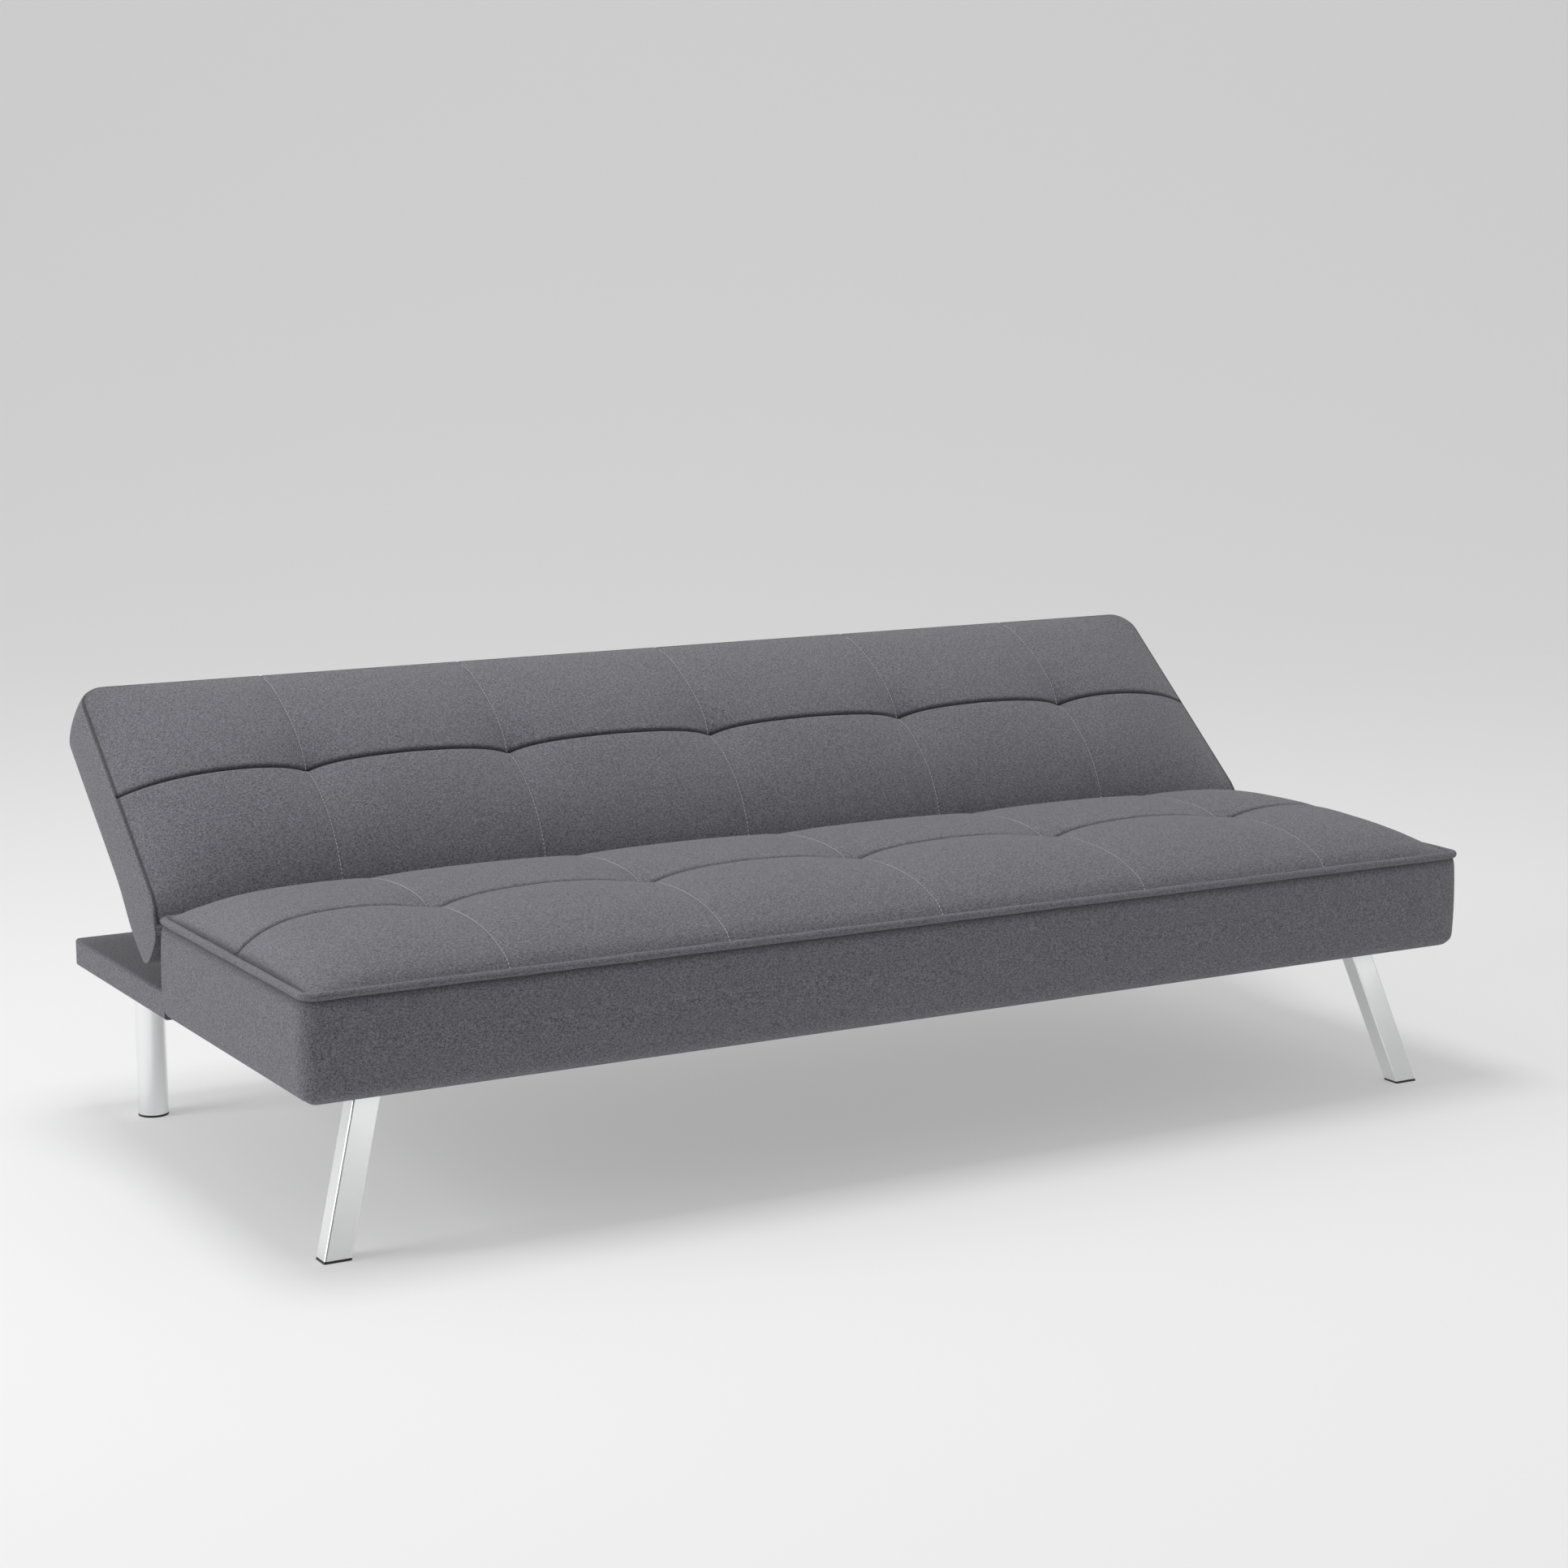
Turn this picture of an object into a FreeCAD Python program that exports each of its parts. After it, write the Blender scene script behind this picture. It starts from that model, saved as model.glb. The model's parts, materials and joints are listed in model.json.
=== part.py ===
import FreeCAD, Part
import Sketcher

import math
import os
import re

# Sofa bed whose backrest clicks down flat behind the seat.
# Millimetres.  X runs along the sofa, the front faces -Y, +Z is up.
# Origin: centre of the footprint, on the floor.

SIZES = {
    # overall
    "overall_width": 1680,
    "overall_depth": 840,
    "seat_depth": 480,
    "base_underside": 195,
    "platform_thickness": 36,
    "edge_over_pin": 24,
    "seat_shoulder": 34,
    "shoulder_run": 48,
    # upholstery
    "cover_skin": 2,
    "side_padding": 8,
    "front_corner": 20,
    "rear_corner": 12,
    "piping_width": 9,
    "piping_proud": 2,
    "piping_rise": 4,
    "underside_return": 40,
    "dust_sheet": 1,
    # timber
    "hardboard": 3,
    "side_plank_width": 140,
    "base_rail_width": 30,
    "base_brace_width": 40,
    "base_brace_pitch": 330,
    "rail_height": 60,
    "rail_thickness": 20,
    "brace_thickness": 25,
    "slat_width": 60,
    "slat_thickness": 10,
    "slat_pitch": 190,
    # backrest, measured from the hinge pin along and across the back
    "pin_behind_seat": 14,
    "belly_gap": 0.5,
    "rest_recline": 39.7,
    "back_end": 13.5,
    "back_length": 394,
    "back_top_lean": 13,
    "back_face": 30,
    "back_shoulder": 28,
    "back_side_run": 62.4,
    "back_top_run": 67.2,
    "back_face_start": 42,
    "back_crown_start": 100,
    "back_rear": 56,
    "back_belly": 68.5,
    "back_belly_start": 20,
    "back_belly_end": 80,
    "back_rear_start": 125,
    "back_corner": 32,
    "back_frame_depth": 32,
    "back_frame_start": 54,
    "back_frame_top_gap": 3,
    "back_rail_width": 30,
    "back_slat_thickness": 8,
    # hinges
    "hinge_spread": 600,
    "hinge_plate": 3,
    "plate_gap": 0.3,
    "boss_radius": 11.5,
    "pin_radius": 4,
    "pin_clearance": 0.05,
    "pin_head_radius": 7,
    "pin_head": 1.5,
    "ratchet_radius": 24,
    "tooth_depth": 2.5,
    "base_arm_reach": 155,
    "base_arm_drop": 60,
    "base_arm_width": 36,
    "base_arm_neck": 36,
    "base_arm_neck_drop": 19.5,
    "boss_overlap": 0.5,
    "slit_room": 3,
    "back_arm_reach": 150,
    "back_arm_width": 20,
    "back_arm_gap": 4,
    "ear_start": 30,
    "ear_along": 46,
    "ear_across": -4,
    "bolt_radius": 3,
    "bolt_head_radius": 6,
    "bolt_head": 3,
    "bolt_hole_gap": 0.25,
    "bolt_grip": 21,
    "base_bolt_margin": 15,
    "base_bolt_pitch": 37,
    "back_bolt_margin": 10,
    "back_bolt_pitch": 22,
    "slot_width": 18,
    "slot_reach": 30,
    "ratchet_room": 9,
    "boss_room": 0.7,
    # pawls
    "pawl_angle": -50,
    "pawl_tip_gap": 0.3,
    "pawl_tip_width": 3,
    "pawl_pivot_along": 36,
    "pawl_pivot_across": -10,
    "pawl_boss": 4.5,
    "pawl_pin_radius": 2,
    "spring_wire": 0.5,
    "spring_leg": 12,
    # legs
    "foot_cap": 3,
    "cap_plug": 12,
    "tube_wall": 1.5,
    "front_leg_width": 35,
    "front_leg_depth": 27,
    "front_leg_corner": 2.5,
    "front_foot_inset": 31,
    "front_foot_setback": 37.5,
    "leg_lean_in": 0.309,
    "leg_lean_back": 0.203,
    "leg_plate": 4,
    "leg_plate_width": 90,
    "leg_plate_depth": 74,
    "plate_screw_edge_x": 12,
    "plate_screw_edge_y": 11,
    "rear_leg_radius": 20,
    "rear_leg_inset": 74,
    "rear_leg_setback": 92,
    "flange_radius": 38,
    "flange_screw_edge": 8,
    "screw_radius": 2.5,
    "screw_head_radius": 4.5,
    "screw_head": 2.5,
    "screw_grip": 18,
}

SIDES = {"left": -1, "right": 1}
SLAT_STEPS = range(-4, 5)
BOLT_STEPS = range(3)
SPRING_TURNS = 3
SPRING_PITCH = 1.8          # between turns, in wire radii
RATCHET_TEETH = 12
RATCHET_FROM, RATCHET_TO = -62, 36
TOOTH_TOP = 0.8             # where a tooth falls back to its root, as a part of the pitch
PAWL_EDGE = (0.389, 0.92)   # the pawl's straight edges leave its boss in this direction
LIP = (-0.344, 0.939)       # the face leaves the back's round lower end in this direction
CORNER_SHARE = 0.3          # a square frame corner this far in clears a round cover corner
OVERCUT = 1                 # how far a cutting block runs past the face that it opens
FAR = 20                    # well outside the cushion

doc = FreeCAD.newDocument("sofa_bed")
sheet = doc.addObject("Spreadsheet::Sheet", "size")
for row, (alias, number) in enumerate(SIZES.items(), start=1):
    sheet.set(f"A{row}", alias)
    sheet.set(f"B{row}", str(number))
    sheet.setAlias(f"B{row}", alias)
doc.recompute()

ALIAS = re.compile(r"\b(" + "|".join(SIZES) + r")\b")
NODES = []

# Places that several pieces share
HALF = "(overall_width / 2 - piping_proud)"
FRONT = "(piping_proud - overall_depth / 2)"
SEAT_REAR = "(seat_depth - overall_depth / 2 - piping_proud)"
REAR = "(overall_depth / 2)"
PIN_Y = "(seat_depth - overall_depth / 2 + pin_behind_seat)"
FRAME_INSET = f"(cover_skin + max(side_padding; {CORNER_SHARE} * front_corner))"
INNER_HALF = f"({HALF} - {FRAME_INSET})"
INNER_FRONT = f"({FRONT} + {FRAME_INSET})"
INNER_REAR = f"({SEAT_REAR} - cover_skin - side_padding)"
PLATFORM_TOP = "(base_underside + platform_thickness)"
PIN_Z = f"({PLATFORM_TOP} + back_belly + belly_gap)"
EDGE = f"({PIN_Z} + edge_over_pin)"
BASE_BOTTOM = "(base_underside + cover_skin)"
BASE_TOP = f"({PLATFORM_TOP} - cover_skin - hardboard)"
SEAT_RAIL_TOP = f"({BASE_TOP} + rail_height)"
ARM_TOP = "(base_arm_width - base_arm_drop)"
BOLT_LINE = "(base_arm_width / 2 - base_arm_drop)"
FRAME_REAR = "(cover_skin - back_rear)"
FRAME_BACK = f"({FRAME_REAR} + hardboard)"
FRAME_FACE = f"({FRAME_BACK} + back_frame_depth)"
FRAME_END = "(back_length - back_top_lean - back_frame_top_gap)"
BACK_BOLT_LINE = f"({FRAME_BACK} + back_arm_gap + back_arm_width / 2)"
LEG_TOP = "(base_underside - leg_plate)"
THROUGH = "(3 * overall_depth)"
BASE_BOLTS = [f"{PIN_Y} - base_arm_reach + base_bolt_margin + {step} * base_bolt_pitch"
              for step in BOLT_STEPS]
BACK_BOLTS = [f"back_arm_reach - back_bolt_margin - {step} * back_bolt_pitch" for step in BOLT_STEPS]


def tied(expression):
    """An expression in plain size names, as the document's own references."""
    return ALIAS.sub(lambda match: "size." + match.group(0), str(expression))


def worth(expression):
    """The present value of an expression."""
    result = sheet.evalExpression(tied(expression))
    return float(getattr(result, "Value", result))


def bind(item, **sizes):
    for name, expression in sizes.items():
        item.setExpression(name.replace("__", "."), tied(expression))


def node(item, label):
    """Registers a finished sub-part, which is written to parts/label.step."""
    item.Label = label
    NODES.append(item)
    return item


def tilt(item):
    """Places a piece drawn flat about the hinge pin at the recline of the resting back."""
    item.Placement = FreeCAD.Placement(FreeCAD.Vector(), FreeCAD.Rotation(FreeCAD.Vector(1, 0, 0), 30))
    item.setExpression("Placement.Rotation.Angle", tied("rest_recline"))
    bind(item, Placement__Base__y=PIN_Y, Placement__Base__z=PIN_Z)


def new_body(label, on_back=False, keep=True):
    body = doc.addObject("PartDesign::Body", label + "_body")
    body.AllowCompound = True
    if on_back:
        tilt(body)
    return node(body, label) if keep else body


def block(body, x, y, z, cut=False):
    """A box added to or cut from a body; each of x, y and z is a (from, to) pair."""
    kind = "PartDesign::SubtractiveBox" if cut else "PartDesign::AdditiveBox"
    box = body.newObject(kind, body.Name + "_block")
    bind(box, Length=f"{x[1]} - ({x[0]})", Width=f"{y[1]} - ({y[0]})", Height=f"{z[1]} - ({z[0]})")
    bind(box, Placement__Base__x=x[0], Placement__Base__y=y[0], Placement__Base__z=z[0])
    return box


def across(side, near, far):
    """The x range between two distances from the middle, on the left or the right."""
    return (near, far) if side > 0 else (f"-({far})", f"-({near})")


def plank(label, x, y, z, on_back=False):
    body = new_body(label, on_back)
    block(body, x, y, z)
    return body


def origin_plane(body, role):
    return next(plane for plane in body.Origin.OriginFeatures if plane.Role == role)


def new_sketch(body, role="YZ_Plane", shift="0"):
    """A sketch on one of a body's origin planes, moved along the plane's normal."""
    sketch = body.newObject("Sketcher::SketchObject", body.Name + "_sketch")
    sketch.AttachmentSupport = (origin_plane(body, role), "")
    sketch.MapMode = "FlatFace"
    bind(sketch, AttachmentOffset__Base__z=shift)
    return sketch


def pin_down(sketch, geometry, end, place):
    """Holds one point of a sketch at an (x, y) pair of expressions."""
    for kind, expression in zip(("DistanceX", "DistanceY"), place):
        number = sketch.addConstraint(Sketcher.Constraint(kind, -1, 1, geometry, end, worth(expression)))
        sketch.setExpression(f"Constraints[{number}]", tied(expression))


def outline(sketch, *points):
    """A closed outline.  A point's third entry is the radius of the arc that arrives at it,
    for an outline drawn anticlockwise; a minus radius makes the arc hollow."""
    first = sketch.GeometryCount
    places = [FreeCAD.Vector(worth(p[0]), worth(p[1]), 0) for p in points]
    ends = []
    for index, point in enumerate(points):
        start, stop = places[index - 1], places[index]
        if len(point) == 2:
            sketch.addGeometry(Part.LineSegment(start, stop), False)
            ends.append((1, 2))
            continue
        radius = worth(point[2])
        chord = stop - start
        turn = 1 if radius > 0 else -1
        rise = math.sqrt(max(radius ** 2 - (chord.Length / 2) ** 2, 0))
        normal = FreeCAD.Vector(-chord.y, chord.x, 0).normalize()
        centre = (start + stop) * 0.5 + normal * (rise * turn)
        begin, finish = (start, stop) if turn > 0 else (stop, start)
        angles = [math.atan2(p.y - centre.y, p.x - centre.x) for p in (begin, finish)]
        circle = Part.Circle(centre, FreeCAD.Vector(0, 0, 1), abs(radius))
        sketch.addGeometry(Part.ArcOfCircle(circle, *angles), False)
        ends.append((1, 2) if turn > 0 else (2, 1))
    for index, point in enumerate(points):
        here = first + index
        after = (index + 1) % len(points)
        sketch.addConstraint(Sketcher.Constraint(
            "Coincident", here, ends[index][1], first + after, ends[after][0]))
        pin_down(sketch, here, ends[index][1], point)
        if len(point) == 3:
            radius = f"abs({point[2]})"
            number = sketch.addConstraint(Sketcher.Constraint("Radius", here, worth(radius)))
            sketch.setExpression(f"Constraints[{number}]", tied(radius))
    return sketch


def circle(sketch, x, y, radius):
    ring = Part.Circle(FreeCAD.Vector(worth(x), worth(y), 0), FreeCAD.Vector(0, 0, 1), worth(radius))
    index = sketch.addGeometry(ring, False)
    pin_down(sketch, index, 3, (x, y))
    number = sketch.addConstraint(Sketcher.Constraint("Radius", index, worth(radius)))
    sketch.setExpression(f"Constraints[{number}]", tied(radius))
    return sketch


def rounded_rectangle(sketch, x, y, *radii):
    """radii: the two corners at the low y, then the two at the high y."""
    low, high = radii[0], radii[-1]
    outline(
        sketch,
        (f"{x[1]} - {low}", y[0]), (x[1], f"{y[0]} + {low}", low),
        (x[1], f"{y[1]} - {high}"), (f"{x[1]} - {high}", y[1], high),
        (f"{x[0]} + {high}", y[1]), (x[0], f"{y[1]} - {high}", high),
        (x[0], f"{y[0]} + {low}"), (f"{x[0]} + {low}", y[0], low))
    return sketch


def pad(sketch, length, centred=False):
    body = sketch.getParentGeoFeatureGroup()
    feature = body.newObject("PartDesign::Pad", body.Name + "_pad")
    feature.Profile = sketch
    feature.Midplane = centred
    bind(feature, Length=length)
    return feature


def pocket(sketch, length, centred=True):
    """Cuts both ways from the sketch."""
    body = sketch.getParentGeoFeatureGroup()
    feature = body.newObject("PartDesign::Pocket", body.Name + "_pocket")
    feature.Profile = sketch
    feature.Midplane = centred
    bind(feature, Length=length)
    return feature


def cut(label, base, *tools):
    """The base less all of the tools."""
    tool = tools[0]
    if len(tools) > 1:
        tool = doc.addObject("Part::MultiFuse", label + "_tools")
        tool.Shapes = list(tools)
    result = doc.addObject("Part::Cut", label + "_cut")
    result.Base, result.Tool = base, tool
    return node(result, label)


# ---------------------------------------------------------------- base frame

def base_frame():
    """The flat timber frame that carries the seat in front and the platform behind."""
    height = (BASE_BOTTOM, BASE_TOP)
    plank_inner = f"({INNER_HALF} - side_plank_width)"
    rear = f"({REAR} - cover_skin)"
    between = (f"-{plank_inner}", plank_inner)
    middle = (f"{INNER_REAR} - base_rail_width", INNER_REAR)
    for name, side in SIDES.items():
        plank(f"base_side_plank_{name}", across(side, plank_inner, INNER_HALF), (INNER_FRONT, rear), height)
    plank("base_front_rail", between, (INNER_FRONT, f"{INNER_FRONT} + base_rail_width"), height)
    plank("base_middle_rail", between, middle, height)
    plank("base_rear_rail", between, (f"{rear} - base_rail_width", rear), height)
    braces = new_body("base_cross_braces")
    spans = ((f"{INNER_FRONT} + base_rail_width", middle[0]), (middle[1], f"{rear} - base_rail_width"))
    for step in (-1, 0, 1):
        centre = f"{step} * base_brace_pitch"
        for span in spans:
            width = (f"{centre} - base_brace_width / 2", f"{centre} + base_brace_width / 2")
            block(braces, width, span, height)
    plank("platform_panel", (f"-{INNER_HALF}", INNER_HALF), (SEAT_REAR, rear),
          (BASE_TOP, f"{BASE_TOP} + hardboard"))


def platform_cover():
    """The fabric wrap of the platform behind the seat, open where it meets the seat."""
    start = f"({SEAT_REAR} + plate_gap)"
    body = new_body("platform_cover")
    plan = new_sketch(body, "XY_Plane", "base_underside")
    rounded_rectangle(plan, (f"-{HALF}", HALF), (start, REAR), "plate_gap", "rear_corner")
    pad(plan, f"{PLATFORM_TOP} - base_underside")
    block(body, (f"cover_skin - {HALF}", f"{HALF} - cover_skin"),
          (f"{start} - {OVERCUT}", f"{REAR} - cover_skin"),
          (BASE_BOTTOM, f"{PLATFORM_TOP} - cover_skin"), cut=True)


# ---------------------------------------------------------------- seat

def seat_frame():
    """The box of rails on the base, its braces for the hinges, and the slats on top."""
    height = (BASE_TOP, SEAT_RAIL_TOP)
    inside = f"({INNER_HALF} - rail_thickness)"
    between = (f"-{inside}", inside)
    span = (f"{INNER_FRONT} + rail_thickness", f"{INNER_REAR} - rail_thickness")
    for name, side in SIDES.items():
        plank(f"seat_end_rail_{name}", across(side, inside, INNER_HALF), (INNER_FRONT, INNER_REAR), height)
    plank("seat_front_rail", between, (INNER_FRONT, span[0]), height)
    rear = plank("seat_rear_rail", between, (span[1], INNER_REAR), height)
    braces = new_body("seat_braces")
    block(braces, ("-brace_thickness / 2", "brace_thickness / 2"), span, height)
    for side in SIDES.values():
        near = "hinge_spread - hinge_plate / 2 - brace_thickness"
        block(braces, across(side, near, "hinge_spread - hinge_plate / 2"), span, height)
        slit = across(side, "hinge_spread - hinge_plate", "hinge_spread + hinge_plate")
        block(rear, slit, (f"{span[1]} - {OVERCUT}", f"{INNER_REAR} + {OVERCUT}"),
              (f"{PIN_Z} - base_arm_drop - slit_room", f"{SEAT_RAIL_TOP} + {OVERCUT}"), cut=True)
    slats = new_body("seat_slats")
    for step in SLAT_STEPS:
        centre = f"{step} * slat_pitch"
        block(slats, (f"{centre} - slat_width / 2", f"{centre} + slat_width / 2"),
              (INNER_FRONT, INNER_REAR), (SEAT_RAIL_TOP, f"{SEAT_RAIL_TOP} + slat_thickness"))


def seat_block(name, inset):
    """The outside of the seat cushion, or its inside when inset by the cover's thickness."""
    body = new_body(name, keep=False)
    half = f"({HALF} - {inset})"
    front = f"({FRONT} + {inset})"
    rear = f"({SEAT_REAR} - {inset})"
    edge = f"({EDGE} - {inset} / 2)"
    shoulder = f"({EDGE} + seat_shoulder - {inset})"
    side_view = new_sketch(body)
    outline(
        side_view,
        (front, f"base_underside + {inset}"), (rear, f"base_underside + {inset}"), (rear, edge),
        (f"{rear} - shoulder_run", shoulder), (f"{front} + shoulder_run", shoulder, "seat_depth * 4"),
        (front, edge))
    pad(side_view, f"2 * {half}", centred=True)
    ends = new_sketch(body, "XZ_Plane")
    above = f"{EDGE} + 3 * seat_shoulder"
    for side in SIDES.values():
        corner = [(half, edge), (f"{half} + {FAR}", edge), (f"{half} + {FAR}", above),
                  (f"{half} - shoulder_run", above), (f"{half} - shoulder_run", shoulder)]
        if side < 0:
            corner = [(f"-({x})", z) for x, z in reversed(corner)]
        outline(ends, *corner)
    pocket(ends, THROUGH)
    corners = new_sketch(body, "XY_Plane")
    for side in SIDES.values():
        corner_cut(corners, half, front, f"(front_corner - {inset})", side, 1)
        corner_cut(corners, half, rear, f"(rear_corner - {inset})", side, -1)
    pocket(corners, THROUGH)
    return body


def corner_cut(sketch, half, y, radius, side, way):
    """Draws what is cut away outside a round corner at half, y.  way is 1 where the cushion
    lies towards +Y of the corner, and -1 where it lies towards -Y."""
    x, past = f"{side} * {half}", f"{side} * ({half} + {FAR})"
    inner, beyond = f"{side} * ({half} - {radius})", f"{y} - {way} * {FAR}"
    level = f"{y} + {way} * {radius}"
    points = [(x, level), (inner, y, f"-1 * {radius}"), (inner, beyond), (past, beyond), (past, level)]
    if side * way < 0:
        points = [(x, level, f"-1 * {radius}"), (past, level), (past, beyond), (inner, beyond), (inner, y)]
    outline(sketch, *points)


def seat_soft_parts():
    """Fabric cover, foam and the underside sheet, each cut from the same cushion shape."""
    outside = seat_block("seat_outside", "0")
    inside = seat_block("seat_inside", "cover_skin")
    openings = new_body("seat_cover_openings", keep=False)
    reach = f"({HALF} - underside_return)"
    behind = f"{SEAT_REAR} + {OVERCUT}"
    below = f"base_underside - {OVERCUT}"
    block(openings, (f"-{reach}", reach), (f"{FRONT} + underside_return", behind),
          (below, f"{BASE_BOTTOM} + {OVERCUT}"))
    block(openings, (f"cover_skin - {HALF}", f"{HALF} - cover_skin"),
          (f"{INNER_REAR} + {OVERCUT}", behind), (below, PLATFORM_TOP))
    slits = new_body("seat_hinge_slits", keep=False)
    for side in SIDES.values():
        slit = across(side, "hinge_spread - hinge_plate", "hinge_spread + hinge_plate")
        block(slits, slit, (f"{INNER_REAR} - {OVERCUT}", behind),
              (f"{PIN_Z} - base_arm_drop - slit_room", f"{PIN_Z} + boss_radius + slit_room"))
    room = new_body("seat_frame_room", keep=False)
    block(room, (f"-{INNER_HALF}", INNER_HALF), (INNER_FRONT, INNER_REAR),
          ("base_underside", f"{SEAT_RAIL_TOP} + slat_thickness"))
    block(room, (f"-{HALF}", HALF), (f"{INNER_REAR} - {OVERCUT}", behind), ("base_underside", PLATFORM_TOP))
    cut("seat_cover", outside, inside, openings, slits)
    cut("seat_foam", inside, room, slits)
    sheet_reach = f"({reach} - dust_sheet)"
    plank("seat_dust_cover", (f"-{sheet_reach}", sheet_reach),
          (f"{FRONT} + underside_return + dust_sheet", f"{SEAT_REAR} - dust_sheet"),
          (f"{BASE_BOTTOM} - dust_sheet", BASE_BOTTOM))


def seat_piping():
    """The welt cord sewn round the top edge of the seat."""
    body = new_body("seat_piping")
    radius = "(piping_width / 2)"
    half = f"({HALF} + piping_proud - {radius})"
    front = f"({FRONT} - piping_proud + {radius})"
    rear = f"({SEAT_REAR} + piping_proud - {radius})"
    bend = f"(front_corner + piping_proud - {radius})"
    tight = f"(rear_corner + piping_proud - {radius})"
    height = f"({EDGE} + piping_rise - {radius})"
    path = new_sketch(body, "XY_Plane", height)
    outline(
        path,
        ("0", front), (f"{half} - {bend}", front), (half, f"{front} + {bend}", bend),
        (half, f"{rear} - {tight}"), (f"{half} - {tight}", rear, tight),
        (f"{tight} - {half}", rear), (f"-{half}", f"{rear} - {tight}", tight),
        (f"-{half}", f"{front} + {bend}"), (f"{bend} - {half}", front, bend))
    section = new_sketch(body, "YZ_Plane")
    circle(section, front, height, radius)
    pipe = body.newObject("PartDesign::AdditivePipe", "piping_pipe")
    pipe.Profile = section
    pipe.Spine = path
    return body


# ---------------------------------------------------------------- backrest

def back_frame():
    """Rails, ends, uprights beside the hinges, slats in front and a hardboard behind."""
    depth = (FRAME_BACK, FRAME_FACE)
    start, stop = "back_frame_start", FRAME_END
    inside = f"({INNER_HALF} - rail_thickness)"
    between = (f"-{inside}", inside)
    lower_top = "(back_frame_start + back_rail_width)"
    upper_foot = f"({FRAME_END} - back_rail_width)"
    for name, side in SIDES.items():
        plank(f"back_end_rail_{name}", across(side, inside, INNER_HALF), (start, stop), depth, True)
    plank("back_top_rail", between, (upper_foot, stop), depth, True)
    lower = plank("back_bottom_rail", between, (start, lower_top), depth, True)
    uprights = new_body("back_uprights", True)
    block(uprights, ("-brace_thickness / 2", "brace_thickness / 2"), (lower_top, upper_foot), depth)
    arm_far = "(hinge_spread + 3 * hinge_plate / 2 + plate_gap)"
    for side in SIDES.values():
        width = across(side, arm_far, f"{arm_far} + brace_thickness")
        block(uprights, width, (lower_top, upper_foot), depth)
        slit = across(side, f"{arm_far} - hinge_plate - {OVERCUT}", f"{arm_far} + {OVERCUT}")
        block(lower, slit, (f"{start} - {OVERCUT}", f"{lower_top} + {OVERCUT}"),
              (f"{FRAME_BACK} - {OVERCUT}", f"{BACK_BOLT_LINE} + back_arm_width / 2 + {OVERCUT}"), cut=True)
    slats = new_body("back_slats", True)
    for step in SLAT_STEPS:
        centre = f"{step} * slat_pitch"
        block(slats, (f"{centre} - slat_width / 2", f"{centre} + slat_width / 2"), (start, stop),
              (FRAME_FACE, f"{FRAME_FACE} + back_slat_thickness"))
    plank("back_panel", (f"-{INNER_HALF}", INNER_HALF), (start, stop), (FRAME_REAR, FRAME_BACK), True)


def back_block(name, inset):
    """The outside of the back cushion, or its inside when inset by the cover's thickness.
    Drawn flat: Y runs up the back from the hinge pin, Z towards the sitter."""
    body = new_body(name, True, keep=False)
    half = f"({HALF} - {inset})"
    end = f"(back_end - {inset})"
    face = f"(back_face - {inset} / 2)"
    crown = f"(back_face + back_shoulder - {inset})"
    rear = f"({inset} - back_rear)"
    belly = f"({inset} - back_belly)"
    top = f"(back_length - {inset})"
    profile = new_sketch(body)
    outline(
        profile,
        (f"-{end}", "-back_rear / 2"), (f"back_belly_start - {inset}", belly), ("back_belly_end", belly),
        ("back_rear_start", rear), (f"{top} - back_top_lean", rear), (top, face),
        (f"{top} - back_top_run", crown), ("back_crown_start", crown, "back_length * 2"),
        ("back_face_start", face), (f"{LIP[0]} * {end}", f"{LIP[1]} * {end}"), (f"-{end}", "0", end))
    pad(profile, f"2 * {half}", centred=True)
    ends = new_sketch(body, "XZ_Plane")
    above = "back_face + 3 * back_shoulder"
    for side in SIDES.values():
        corner = [(half, face), (f"{half} + {FAR}", face), (f"{half} + {FAR}", above),
                  (f"{half} - back_side_run", above), (f"{half} - back_side_run", crown)]
        if side < 0:
            corner = [(f"-({x})", z) for x, z in reversed(corner)]
        outline(ends, *corner)
    pocket(ends, THROUGH)
    corners = new_sketch(body, "XY_Plane")
    for side in SIDES.values():
        corner_cut(corners, half, top, f"(back_corner - {inset})", side, -1)
    pocket(corners, THROUGH)
    return body


def back_soft_parts():
    outside = back_block("back_outside", "0")
    inside = back_block("back_inside", "cover_skin")
    slots = new_body("back_hinge_slots", True, keep=False)
    for side in SIDES.values():
        width = across(side, "hinge_spread - slot_width / 2", "hinge_spread + slot_width / 2")
        block(slots, width, (f"-back_end - {FAR}", "slot_reach"),
              ("-ratchet_radius - ratchet_room", "boss_radius + boss_room"))
        block(slots, width, ("boss_radius", f"back_frame_start + {OVERCUT}"),
              (f"{FRAME_REAR} + cover_skin", "boss_radius - back_arm_gap"))
    room = new_body("back_frame_room", True, keep=False)
    block(room, (f"-{INNER_HALF}", INNER_HALF), ("back_frame_start", FRAME_END),
          (FRAME_REAR, f"{FRAME_FACE} + back_slat_thickness"))
    cut("back_cover", outside, inside, slots)
    cut("back_foam", inside, room, slots)


# ---------------------------------------------------------------- hinges

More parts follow.
